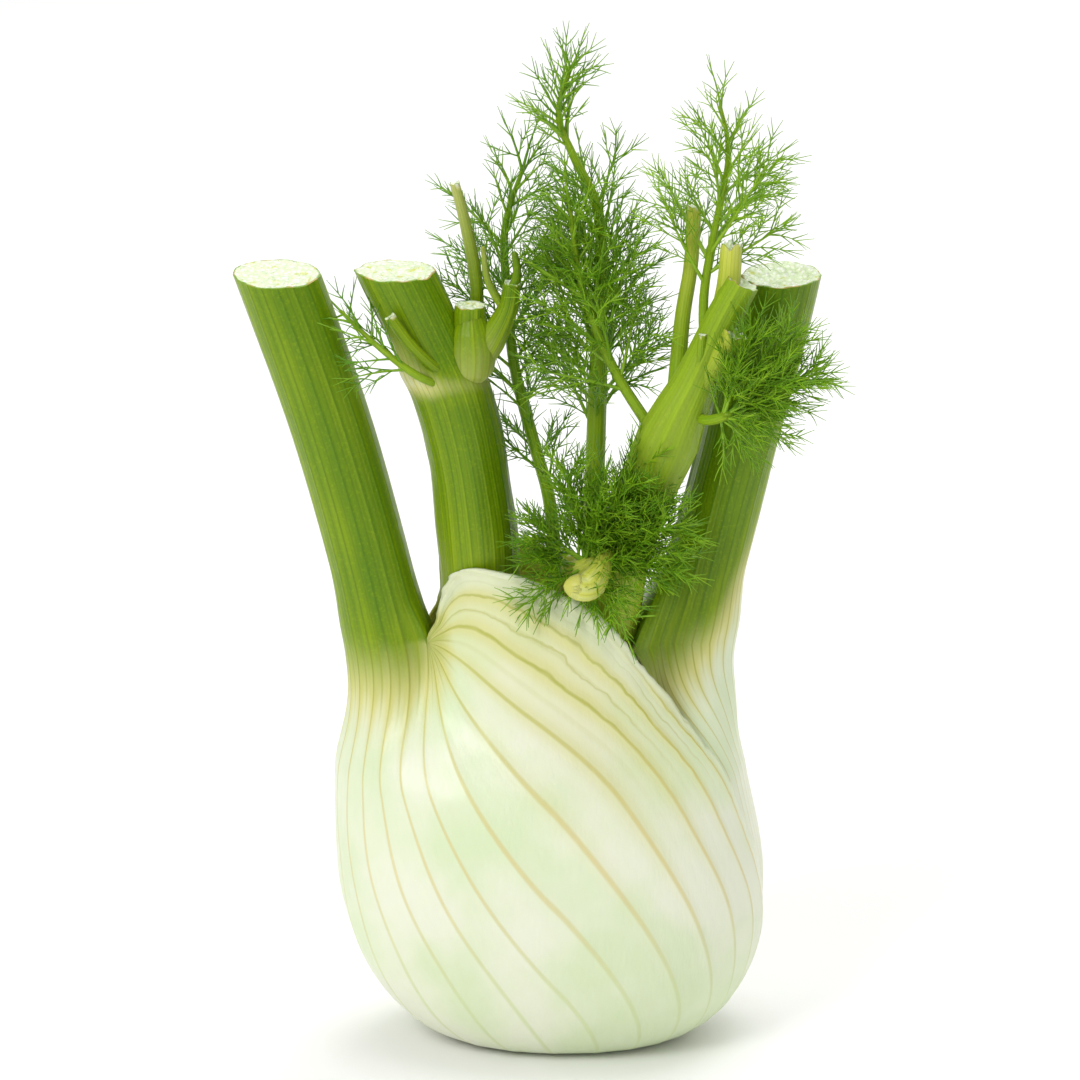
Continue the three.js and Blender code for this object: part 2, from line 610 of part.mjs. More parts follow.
const crown = new Frond(11, CROWN_STEM)
  .feather({ from: 0.46, to: 0.74, branches: 9, reach: 22, tipReach: 14, pitch: 52, threads: 4, threadLength: 10.5 })
  .feather({ from: 0.76, to: 1, branches: 11, reach: 11, tipReach: 6, pitch: 46, threads: 3, threadLength: 7 })
  .finish();
const dark = new Frond(23, DARK_STEM)
  .feather({ from: 0.3, to: 0.52, branches: 4, reach: 10, tipReach: 9, pitch: 56, threads: 3, threadLength: 7 })
  .feather({ from: 0.56, to: 1, branches: 8, reach: 17, tipReach: 8, pitch: 50, threads: 4, threadLength: 9 })
  .finish();
const side = new Frond(37, SIDE_STEM)
  .feather({ from: 0.3, to: 1, branches: 8, reach: 14, tipReach: 7, pitch: 52, threads: 4, threadLength: 9 })
  .finish();
const tall = new Frond(41, TALL_STEM)
  .feather({ from: 0.42, to: 1, branches: 9, reach: 19, tipReach: 7, pitch: 50, threads: 4, threadLength: 9 })
  .finish();
const sprig = new Frond(53, SPRIG_STEM)
  .feather({ from: 0.35, to: 1, branches: 6, reach: 8, tipReach: 5, pitch: 50, threads: 2, threadLength: 6 })
  .finish();

const SOCKETS = [CROWN_STEM, DARK_STEM, LOW_PEG];

const bodies = {
  crown_frond: crown,
  dark_frond: dark,
  side_frond: side,
  tall_frond: tall,
  sprig_frond: sprig,
  bushy_frond: bushyFrond(61, BUSHY_PEG, BUSHY_STEMS, 1, 4, 9.5),
  low_frond: bushyFrond(71, LOW_PEG, LOW_STEMS, 0.86, 4, 9.5),
};

const shootHoles = [SIDE_STEM, TALL_STEM, BUSHY_PEG].map(socket);
const heartHoles = [leftGrown, rightLeaf(GAP), right, middleLeaf(GAP), shootRoot, ...SOCKETS.map(socket)];

const fennel = new THREE.Group();
fennel.add(mesh('left_leaf', left, sheathSkin));
fennel.add(mesh('right_leaf', right, rightSkin));
fennel.add(mesh('heart', largest(heart().subtract(wasm.Manifold.union(heartHoles))), heartSkin));
fennel.add(mesh('middle_leaf', largest(middle.subtract(socket(SPRIG_STEM))), middleSkin));
fennel.add(mesh('right_shoot', largest(shoot.subtract(wasm.Manifold.union(shootHoles))), shootSkin));
Object.entries(bodies).forEach(([name, body]) => fennel.add(mesh(name, body, frondSkin)));

export default fennel;
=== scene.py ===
"""A fennel bulb with clasping leaf bases, cut stalks and young fronds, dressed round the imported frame."""

import logging
import math
import random
from dataclasses import dataclass, field
from enum import Enum

import bmesh
import bpy
import numpy as np
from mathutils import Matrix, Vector

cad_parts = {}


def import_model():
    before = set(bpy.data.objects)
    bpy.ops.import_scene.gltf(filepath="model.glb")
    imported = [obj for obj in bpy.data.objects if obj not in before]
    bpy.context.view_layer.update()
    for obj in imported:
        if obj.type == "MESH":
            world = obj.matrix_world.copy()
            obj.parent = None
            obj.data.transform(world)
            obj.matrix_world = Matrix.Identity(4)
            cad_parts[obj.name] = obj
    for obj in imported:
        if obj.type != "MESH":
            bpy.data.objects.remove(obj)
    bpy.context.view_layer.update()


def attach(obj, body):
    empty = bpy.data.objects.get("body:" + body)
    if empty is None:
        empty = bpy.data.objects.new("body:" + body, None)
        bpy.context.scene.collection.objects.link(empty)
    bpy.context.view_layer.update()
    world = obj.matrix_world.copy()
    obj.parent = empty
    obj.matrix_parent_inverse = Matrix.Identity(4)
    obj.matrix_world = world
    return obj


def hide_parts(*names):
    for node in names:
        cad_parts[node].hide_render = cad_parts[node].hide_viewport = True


log = logging.getLogger("fennel")

MM = 0.001
GOLDEN_ANGLE = 137.508
WELD = 2e-6
UP = (0.0, 0.0, 1.0)
CAP_SIZES = (0.999, 0.985, 0.95, 0.85, 0.7, 0.55, 0.4, 0.25, 0.12, 0.0)
CAP_RISES = (0.0, 0.12, 0.14, 0.0, -0.35, -0.7, -0.95, -1.0, -1.0, -1.0)
CAP_ROUGH = 0.3
CAP_WAVES = 0.35
CAP_WAVES_UP = 0.2
FINE_RIBS = 3.0
FINE_RIB_WIDTH = 0.2
TEAR_WAVES = 1.1
TEAR_SEED = 60
Array = np.ndarray
Colour = tuple[float, float, float, float]
Point = tuple[float, float, float]


class Slot(Enum):
    """Names for three material slots; nothing in the script uses them."""

    SHEATH = "sheath"
    STALK = "stalk"
    FROND = "frond"


class End(Enum):
    """How a stem ends."""

    CUT = "cut"
    TIP = "tip"
    HIDDEN = "hidden"


class Mark(Enum):
    """Values that the points of a piece carry for its finish."""

    LINE = "line"
    GREEN = "green"
    TONE = "tone"
    RIM = "rim"


def smoothstep(value: Array, low: float, high: float) -> Array:
    """A soft step from 0 at low to 1 at high.

    Args:
        value: The numbers to step.
        low: Where the step starts.
        high: Where the step ends.

    Returns:
        The stepped numbers.
    """
    share = np.clip((np.asarray(value, dtype=float) - low) / (high - low), 0.0, 1.0)
    return share * share * (3.0 - 2.0 * share)


def lerp(first: Array, second: Array, share: Array) -> Array:
    """The value a share of the way from first to second."""
    return first + (second - first) * share


def signed_power(value: Array, power: float) -> Array:
    """Raises the size of the numbers to a power and keeps their signs."""
    return np.sign(value) * np.abs(value) ** power


def srgb(red: float, green: float, blue: float) -> Colour:
    """A linear colour from one as the eye reads it on a screen.

    Args:
        red: The red part, from 0 to 255.
        green: The green part, from 0 to 255.
        blue: The blue part, from 0 to 255.

    Returns:
        The linear colour with full alpha.
    """
    parts = [c / 255.0 for c in (red, green, blue)]
    return tuple(c / 12.92 if c <= 0.04045 else ((c + 0.055) / 1.055) ** 2.4 for c in parts) + (1.0,)


def waves(x: Array, y: Array, seed: int, count: int = 6) -> Array:
    """Smooth seeded unevenness between about -1 and 1.

    Args:
        x: One coordinate, in waves.
        y: The other coordinate, in waves.
        seed: The seed of the draw.
        count: How many waves are laid over each other.

    Returns:
        The unevenness at each place.
    """
    draw = random.Random(seed)
    total = np.zeros(np.broadcast(x, y).shape)
    for _ in range(count):
        turn = draw.uniform(0.0, math.tau)
        pace = draw.uniform(0.5, 1.8) * math.tau
        start = draw.uniform(0.0, math.tau)
        total = total + np.sin(pace * (x * math.cos(turn) + y * math.sin(turn)) + start)
    return total / math.sqrt(count)


def bell(value: Array, centre: float, width: float) -> Array:
    """A bell of height 1 at a centre, down to about a third a width away."""
    return np.exp(-(((value - centre) / width) ** 2))


def ridge(line: Array, width: float) -> Array:
    """A ridge of height 1 at each whole number of line, with soft sides of a width."""
    return bell(line - np.round(line), 0.0, width)


def torn(degrees: Array, seed: int) -> Array:
    """The unevenness of a torn rim that closes on itself, at angles in degrees."""
    turn = np.radians(degrees)
    return waves(TEAR_WAVES * np.cos(turn), TEAR_WAVES * np.sin(turn), seed)


def way_round(degrees: Array) -> Array:
    """How far angles in degrees lie from 0, the shorter way round."""
    return np.minimum(np.abs(degrees), 360.0 - np.abs(degrees))


def mirrored(points: Array, angle: Array) -> Array:
    """Takes points to the back where their angle is negative."""
    points[..., 1] *= np.where(np.asarray(angle) < 0.0, -1.0, 1.0)
    return points


@dataclass(frozen=True)
class Stalk:
    """A stalk as level sections round a leaning line, in millimetres."""

    x: float
    slope: float
    bend: float
    y: float
    back: float
    z: float
    half: float
    foot: float
    depth: float

    def point(self, angle: Array, z: Array, inset: Array = 0.0) -> Array:
        """Points of the stalk's skin.

        Args:
            angle: Angles from the left side, through the front, in degrees.
            z: Heights.
            inset: How far the points lie under the skin.

        Returns:
            Points, in millimetres.
        """
        up = np.asarray(z, dtype=float) - self.z
        foot = self.foot * (1.0 - smoothstep(z, self.z, self.z + 16.0))
        turn = np.radians(angle)
        return np.stack(np.broadcast_arrays(
            self.x + self.slope * up + self.bend * up * up - (self.half + foot - inset) * np.cos(turn),
            self.y + self.back * up - (self.depth - inset) * np.sin(turn),
            np.asarray(z, dtype=float),
        ), axis=-1)


LEFT_STALK = Stalk(-38.9, -0.2006, -0.00102, 0.0, 0.0, 92.0, 9.2, 0.7, 8.6)
RIGHT_STALK = Stalk(27.1, 0.245, 0.0, 0.0, 0.05, 92.0, 8.6, 1.8, 8.3)
MIDDLE_STALK = Stalk(-18.6, -0.0513, -0.00275, -0.8, 0.0, 110.0, 8.6, 0.0, 8.3)


@dataclass(frozen=True)
class BulbForm:
    """The surface of the bulb with its collar, in millimetres."""

    base: tuple[float, float] = (21.0, 14.5)
    belly: tuple[float, float] = (47.5, 33.0)
    belly_z: float = 42.0
    neck: tuple[float, float] = (43.0, 19.0)
    neck_z: float = 92.0
    lean: float = -0.066
    roundness: float = 0.93
    collar_left: float = -30.0
    collar_left_top: float = -28.0
    collar_right: float = 35.0
    collar_depth_top: float = 14.6
    collar_top: float = 112.0
    shoulder: float = 62.0
    crotch_angle: float = 50.0
    crotch_share: float = 0.48
    crotch_blend: float = 12.0
    stalk_angle: float = 135.0
    collar_angle: float = 20.0
    base_angle: float = 172.0
    base_power: float = 1.2
    collar_blend: float = 6.0
    right_step: float = 1.7
    right_collar_inset: float = 5.06
    swing_from: float = -90.0
    swing: float = 200.0
    reach: float = 30.0
    reach_more: float = 10.0
    own_turn: float = 86.0
    fan_turn: float = 74.0
    fan_power: float = 1.3
    fan_low: float = 28.0
    fan_rise: float = 86.0

    def oval(self, angle: Array, z: Array, centre: Array, half: Array, depth: Array) -> Array:
        """Points of a level oval with full corners.

        Args:
            angle: Angles from its left side, through the front, in degrees.
            z: Heights.
            centre: The oval's middle in x.
            half: Half its width.
            depth: Half its depth.

        Returns:
            Points, in millimetres.
        """
        turn = np.radians(angle)
        x = centre - half * signed_power(np.cos(turn), self.roundness)
        y = -depth * signed_power(np.sin(turn), self.roundness)
        return np.stack(np.broadcast_arrays(x, y, np.asarray(z, dtype=float)), axis=-1)

    def round_point(self, angle: Array, z: Array, inset: Array = 0.0) -> Array:
        """Points of the round bulb.

        Args:
            angle: Angles from the left side, through the front, in degrees.
            z: Heights.
            inset: How far the points lie under the surface.

        Returns:
            Points, in millimetres.
        """
        low = np.clip(np.asarray(z, dtype=float) / self.belly_z, 0.0, 1.0)
        rise = np.sqrt(1.0 - (1.0 - low) ** 2)
        fall = smoothstep(z, self.belly_z, self.neck_z)
        width, depth = (
            lerp(base, belly, rise) - (belly - neck) * fall - inset
            for base, belly, neck in zip(self.base, self.belly, self.neck)
        )
        return self.oval(angle, z, self.lean * np.asarray(z), width, depth)

    def collar_point(self, angle: Array, z: Array, inset: Array = 0.0) -> Array:
        """Points of the collar.

        Args:
            angle: Angles from its left side, through the front, in degrees.
            z: Heights.
            inset: How far the points lie under the surface.

        Returns:
            Points, in millimetres.
        """
        up = smoothstep(z, self.neck_z, self.collar_top)
        left = lerp(self.collar_left, self.collar_left_top, up)
        depth = lerp(self.neck[1], self.collar_depth_top, up) - inset
        half = (self.collar_right - left) / 2.0 - inset
        return self.oval(angle, z, (self.collar_right + left) / 2.0, half, depth)

    def stalk_turn(self, size: Array) -> Array:
        """The angle on a stalk that an angle on the bulb, from the stalk's side, runs up to."""
        return np.minimum(size / self.crotch_angle * self.stalk_angle, 180.0)

    def sheath_point(self, angle: Array, z: Array, inset: Array = 0.0) -> Array:
        """Points of the outer sheath: round below, the stalk and the collar side by side above.

        Args:
            angle: Angles from the stalk's side, positive through the front, in degrees.
            z: Heights.
            inset: How far the points lie under the surface.

        Returns:
            Points, in millimetres.
        """
        size = np.abs(angle)
        spread = (180.0 - self.collar_angle) / (180.0 - self.crotch_angle)
        collar_turn = self.collar_angle + (size - self.crotch_angle) * spread
        side = smoothstep(size, self.crotch_angle - self.crotch_blend, self.crotch_angle + self.crotch_blend)
        to_collar = lerp(side, 1.0, smoothstep(z, self.neck_z, self.neck_z + self.collar_blend))[..., None]
        stalk = LEFT_STALK.point(self.stalk_turn(size), z, inset)
        upper = lerp(stalk, self.collar_point(collar_turn, z, inset), to_collar)
        share = smoothstep(z, self.shoulder, self.neck_z)[..., None]
        return mirrored(lerp(self.round_point(size, z, inset), upper, share), angle)

    def vein_place(self, number: Array, t: Array) -> tuple[Array, Array]:
        """Where a vein runs.

        Args:
            number: The vein's place, from 0 at the stalk to 1 at the margin.
            t: How far along it, from 0 at the top to 1 at the base.

        Returns:
            Angles in degrees and heights in millimetres.
        """
        fan = np.clip((number - self.crotch_share) / (1.0 - self.crotch_share), 0.0, None)
        own = np.minimum(number / self.crotch_share, 1.0)
        swing = np.radians(self.swing_from + self.swing * fan)
        reach = self.reach + self.reach_more * fan
        start = self.crotch_angle * own
        angles = [
            start,
            start + reach * np.cos(swing),
            self.own_turn * own + self.fan_turn * fan ** self.fan_power,
            self.base_angle * np.sin(math.pi / 2.0 * number ** self.base_power),
        ]
        heights = [
            self.neck_z,
            self.neck_z + reach * np.sin(swing),
            self.fan_low + self.fan_rise * fan,
            0.0,
        ]
        shares = [(1 - t) ** 3, 3 * (1 - t) ** 2 * t, 3 * (1 - t) * t ** 2, t ** 3]
        return sum(a * s for a, s in zip(angles, shares)), sum(h * s for h, s in zip(heights, shares))

    def right_point(self, angle: Array, z: Array, inset: Array = 0.0) -> Array:
        """Points of the right leaf's sheath.

        Args:
            angle: Angles from the right side, positive through the front, in degrees.
            z: Heights.
            inset: How far the points lie under the surface.

        Returns:
            Points, in millimetres.
        """
        size = np.abs(angle)
        tuck = smoothstep(size, self.crotch_angle - self.crotch_blend, self.crotch_angle + self.crotch_blend)
        stalk = RIGHT_STALK.point(180.0 - self.stalk_turn(size), z, inset)
        collar = self.collar_point(180.0 - size, z, inset + self.right_collar_inset)
        share = smoothstep(z, self.shoulder, self.neck_z)[..., None]
        bulb = self.round_point(180.0 - size, z, inset + self.right_step)
        return mirrored(lerp(bulb, lerp(stalk, collar, tuck[..., None]), share), angle)


FORM = BulbForm()


class MeshParts:
    """Collects the points, faces and marks of one piece."""

    def __init__(self) -> None:
        """Starts with nothing in it."""
        self.points: list[Array] = []
        self.faces: list[Array] = []
        self.numbers: list[Array] = []
        self.marks: dict[Mark, list[Array]] = {mark: [] for mark in Mark}
        self.count = 0

    def add(self, points: Array, faces: Array, finish: int, marks: dict[Mark, Array]) -> None:
        """Adds a patch.

        Args:
            points: Its points in millimetres, on any number of axes.
            faces: Its faces, as rows of four point numbers.
            finish: The number of its finish.
            marks: Values of the marks at its points.
        """
        self.points.append(points.reshape(-1, 3))
        self.faces.append(faces + self.count)
        self.numbers.append(np.full(len(faces), finish))
        for mark, values in self.marks.items():
            given = np.broadcast_to(np.asarray(marks.get(mark, 0.0), dtype=float), points.shape[:-1])
            values.append(given.reshape(-1))
        self.count += points.reshape(-1, 3).shape[0]

    def add_grid(
        self,
        points: Array,
        marks: dict[Mark, Array],
        wrap: bool = False,
        flip: bool = False,
        finish: int = 0,
    ) -> None:
        """Adds a grid of points, columns by rows.

        Args:
            points: The grid, columns first.
            marks: Values of the marks at its points.
            wrap: Whether the last column joins the first.
            flip: Whether its faces look the other way.
            finish: The number of its finish.
        """
        columns, rows = points.shape[:2]
        numbers = np.arange(columns * rows).reshape(columns, rows)
        after = np.roll(numbers, -1, axis=0) if wrap else numbers[1:]
        before = numbers if wrap else numbers[:-1]
        corners = [before[:, :-1], before[:, 1:], after[:, 1:], after[:, :-1]]
        quads = np.stack(corners, axis=-1).reshape(-1, 4)
        self.add(points, quads[:, ::-1] if flip else quads, finish, marks)

    def build(self, name: str, materials: list[bpy.types.Material]) -> bpy.types.Object:
        """Makes the piece's object.

        Args:
            name: The piece's name.
            materials: Its materials, in the order of their numbers.

        Returns:
            The object, smooth shaded, linked to the scene.
        """
        mesh = bpy.data.meshes.new(name)
        points = np.concatenate(self.points) * MM
        mesh.from_pydata(points.tolist(), [], np.concatenate(self.faces).tolist())
        for mark, values in self.marks.items():
            layer = mesh.attributes.new(mark.value, "FLOAT", "POINT")
            layer.data.foreach_set("value", np.concatenate(values).astype(np.float32))
        for material in materials:
            mesh.materials.append(material)
        mesh.polygons.foreach_set("material_index", np.concatenate(self.numbers).astype(np.int32))
        mesh.polygons.foreach_set("use_smooth", np.ones(len(mesh.polygons), dtype=bool))
        welded = bmesh.new()
        welded.from_mesh(mesh)
        bmesh.ops.remove_doubles(welded, verts=welded.verts, dist=WELD)
        welded.to_mesh(mesh)
        welded.free()
        mesh.update()
        piece = bpy.data.objects.new(name, mesh)
        bpy.context.scene.collection.objects.link(piece)
        log.info("%s: %d faces", name, len(mesh.polygons))
        return piece


class Course:
    """A smooth curve through points, with a radius that runs through a list."""

    def __init__(self, points: list[Point], radii: list[float], steps: int = 12) -> None:
        """Keeps the curve.

        Args:
            points: The points the curve passes, in millimetres.
            radii: Radii, evenly spaced along it.
            steps: Steps from one point to the next.
        """
        knots = np.array(points, dtype=float)
        knots = np.vstack([2 * knots[0] - knots[1], knots, 2 * knots[-1] - knots[-2]])
        gaps = np.sqrt(np.linalg.norm(np.diff(knots, axis=0), axis=1))
        times = np.concatenate([[0.0], np.cumsum(gaps)])
        found = [knots[1]]
        for i in range(len(points) - 1):
            for share in np.linspace(0.0, 1.0, steps + 1)[1:]:
                time = lerp(times[i + 1], times[i + 2], share)
                found.append(self._between(knots[i:i + 4], times[i:i + 4], time))
        self.points = np.array(found)
        lengths = np.linalg.norm(np.diff(self.points, axis=0), axis=1)
        self.places = np.concatenate([[0.0], np.cumsum(lengths)])
        self.length = float(self.places[-1])
        self.places = self.places / self.length
        self.radii = np.array(radii, dtype=float)

    @staticmethod
    def _between(knots: Array, times: Array, time: float) -> Array:
        """A point of the curve between the middle two of four knots.

        Args:
            knots: The four knots.
            times: Their times.
            time: The time asked for.

        Returns:
            The point.
        """
        def blend(first: Array, second: Array, low: float, high: float) -> Array:
            """The point between two at the time, when they stand at low and high."""
            return first + (second - first) * (time - low) / (high - low)

        single = [blend(knots[k], knots[k + 1], times[k], times[k + 1]) for k in range(3)]
        double = [blend(single[k], single[k + 1], times[k], times[k + 2]) for k in range(2)]
        return blend(double[0], double[1], times[1], times[2])

    def place(self, share: Array) -> Array:
        """The point, or the points, a share of the way along."""
        return np.stack([np.interp(share, self.places, self.points[:, k]) for k in range(3)], axis=-1)

    def at(self, share: float) -> tuple[Vector, Vector]:
        """Where the curve is and where it heads.

        Args:
            share: The share of the way along.

        Returns:
            The point and the heading.
        """
        behind, ahead = self.place(np.clip([share - 0.01, share + 0.01], 0.0, 1.0))
        return Vector(self.place(share)), Vector(ahead - behind).normalized()

    def radius(self, share: Array) -> Array:
        """The radius a share of the way along."""
        return np.interp(share, np.linspace(0.0, 1.0, len(self.radii)), self.radii)

    def rings(self, sides: int, rows: int, stripes: int, relief: float) -> tuple[Array, Array, Array]:
        """Rings round the curve.

        Args:
            sides: Points in a ring.
            rows: How many rings.
            stripes: How many ridges run along it.
            relief: Their height as a share of the radius.

        Returns:
            The grid of points with the ring's turn first, the turn as a share of the way round, and the
            shares along the curve.
        """
        shares = np.linspace(0.0, 1.0, rows)
        centres = self.place(shares)
        headings = np.gradient(centres, axis=0)
        headings /= np.linalg.norm(headings, axis=1, keepdims=True)
        across = np.zeros_like(headings)
        side = np.cross([0.0, 1.0, 0.0], headings[0])
        for i, heading in enumerate(headings):
            side = side - heading * np.dot(side, heading)
            side = side / np.linalg.norm(side)
            across[i] = side
        third = np.cross(headings, across)
        turn = np.linspace(0.0, 1.0, sides, endpoint=False)
        lift = 1.0 + relief * ridge(turn * stripes, FINE_RIB_WIDTH)
        radius = self.radius(shares)[None, :] * lift[:, None]
        angle = turn[:, None, None] * math.tau
        around = np.cos(angle) * across[None] + np.sin(angle) * third[None]
        return centres[None] + radius[..., None] * around, turn, shares


def cap_rings(
    parts: MeshParts,
    ring: Array,
    heading: Array,
    dish: float,
    finish: int,
    seed: int = 3,
) -> None:
    """Closes a ring of points with a cut face.

    Args:
        parts: The piece it is added to.
        ring: The ring, whose columns turn so that its skin needs flipped faces.
        heading: The way the cut looks.
        dish: How deep its middle lies, in millimetres.
        finish: The number of the cut's finish.
        seed: The seed of its unevenness.
    """
    centre = ring.mean(axis=0)
    sizes = np.array(CAP_SIZES)
    rises = np.array(CAP_RISES)
    rises = np.where(rises > 0.0, rises, rises * dish)
    grid = centre + (ring[:, None, :] - centre) * sizes[None, :, None]
    across, along = grid[..., 0] * CAP_WAVES, grid[..., 1] * CAP_WAVES + grid[..., 2] * CAP_WAVES_UP
    rough = waves(across, along, seed) * CAP_ROUGH * smoothstep(1.0 - sizes, 0.0, 0.12)[None]
    grid = grid + np.asarray(heading) * (rises[None, :, None] + rough[..., None])
    grid[:, -1] = grid[:, -1].mean(axis=0)
    marks = {Mark.LINE: np.broadcast_to(sizes[None], grid.shape[:2]), Mark.RIM: 1.0}
    parts.add_grid(grid, marks, wrap=True, flip=True, finish=finish)


@dataclass
class Stem:
    """A round stem along a course."""

    course: Course
    green: tuple[float, float] = (1.0, 1.0)
    end: End = End.CUT
    sides: int = 24
    rows: int = 40
    stripes: int = 12
    relief: float = 0.05
    dish: float = 0.25
    tone: float = 0.5
    tear: float = 0.2

    def add_to(self, parts: MeshParts, finish: int = 0, cut_finish: int = 1) -> None:
        """Adds the stem to a piece.

        Args:
            parts: The piece.
            finish: The number of the skin's finish.
            cut_finish: The number of the cut's finish.
        """
        points, turn, shares = self.course.rings(self.sides, self.rows, self.stripes, self.relief)
        centre = points[:, -1].mean(axis=0)
        heading = centre - points[:, -2].mean(axis=0)
        heading = heading / np.linalg.norm(heading)
        if self.end is End.CUT:
            lift = self.tear * torn(turn * 360.0, TEAR_SEED + self.stripes)
            points[:, -1] += heading * lift[:, None]
        green = lerp(self.green[0], self.green[1], shares)
        marks = {
            Mark.LINE: np.repeat(turn[:, None] * self.stripes, self.rows, axis=1),
            Mark.GREEN: np.broadcast_to(green[None], points.shape[:2]),
            Mark.TONE: self.tone,
        }
        parts.add_grid(points, marks, wrap=True, flip=True, finish=finish)
        radius = float(self.course.radii[-1])
        if self.end is End.CUT:
            cap_rings(parts, points[:, -1], heading, self.dish * radius, cut_finish)
        if self.end is End.TIP:
            rings = [points[:, -1]]
            for size, rise in ((0.75, 0.5), (0.4, 0.85), (0.02, 1.0)):
                rings.append(centre + (points[:, -1] - centre) * size + heading * radius * rise)
            marks = {Mark.GREEN: self.green[1], Mark.TONE: self.tone}
            parts.add_grid(np.stack(rings, axis=1), marks, wrap=True, flip=True, finish=finish)


class Threads:
    """Collects thin curved threads and builds them all at once."""

    def __init__(self) -> None:
        """Starts with none."""
        self.rows: list[tuple[float, ...]] = []

    def add(
        self,
        curve: tuple[Vector, Vector, Vector],
        radii: tuple[float, float],
        green: float,
        tone: float,
    ) -> None:
        """Notes a thread.

        Args:
            curve: Its start, the point that draws its middle aside, and its end, in millimetres.
            radii: Its radii at the start and the end.
            green: How much of the thread's green it has, against the stem's.
            tone: How light it is.
        """
        self.rows.append((*curve[0], *curve[1], *curve[2], *radii, green, tone))

    def add_to(self, parts: MeshParts, sides: int, steps: int, finish: int = 0) -> None:
        """Builds the threads into a piece.

        Args:
            parts: The piece.
            sides: Sides of a thread.
            steps: Rings along a thread.
            finish: The number of the finish.
        """
        if not self.rows:
            return
        rows = np.array(self.rows)
        start, middle, end = rows[:, 0:3], rows[:, 3:6], rows[:, 6:9]
        t = np.linspace(0.0, 1.0, steps)[None, :, None]
        curve = start[:, None] * (1 - t) ** 2 + middle[:, None] * 2 * t * (1 - t) + end[:, None] * t * t
        heading = end - start
        heading /= np.maximum(np.linalg.norm(heading, axis=1, keepdims=True), 1e-9)
        other = np.where(np.abs(heading[:, 2:3]) < 0.8, [[0.0, 0.0, 1.0]], [[1.0, 0.0, 0.0]])
        across = np.cross(other, heading)
        across /= np.linalg.norm(across, axis=1, keepdims=True)
        third = np.cross(heading, across)
        radius = rows[:, 9, None] + (rows[:, 10, None] - rows[:, 9, None]) * t[:, :, 0]
        angles = (np.arange(sides) * math.tau / sides)[None, :, None]
        around = np.cos(angles) * across[:, None] + np.sin(angles) * third[:, None]
        points = curve[:, None] + around[:, :, None] * radius[:, None, :, None]
        count = len(rows)
        numbers = np.arange(count * sides * steps).reshape(count, sides, steps)
        after = np.roll(numbers, -1, axis=1)
        corners = [numbers[..., :-1], after[..., :-1], after[..., 1:], numbers[..., 1:]]
        quads = np.stack(corners, axis=-1).reshape(-1, 4)
        shape = points.shape[:-1]
        marks = {
            Mark.LINE: np.broadcast_to(t[:, None, :, 0], shape),
            Mark.GREEN: np.broadcast_to(rows[:, 11, None, None], shape),
            Mark.TONE: np.broadcast_to(rows[:, 12, None, None], shape),
        }
        parts.add(points, quads, finish, marks)


@dataclass(frozen=True)
class Step:
    """A soft step of a value, and what it gives at its foot and at its top."""

    low: float
    high: float
    first: float = 0.0
    last: float = 1.0


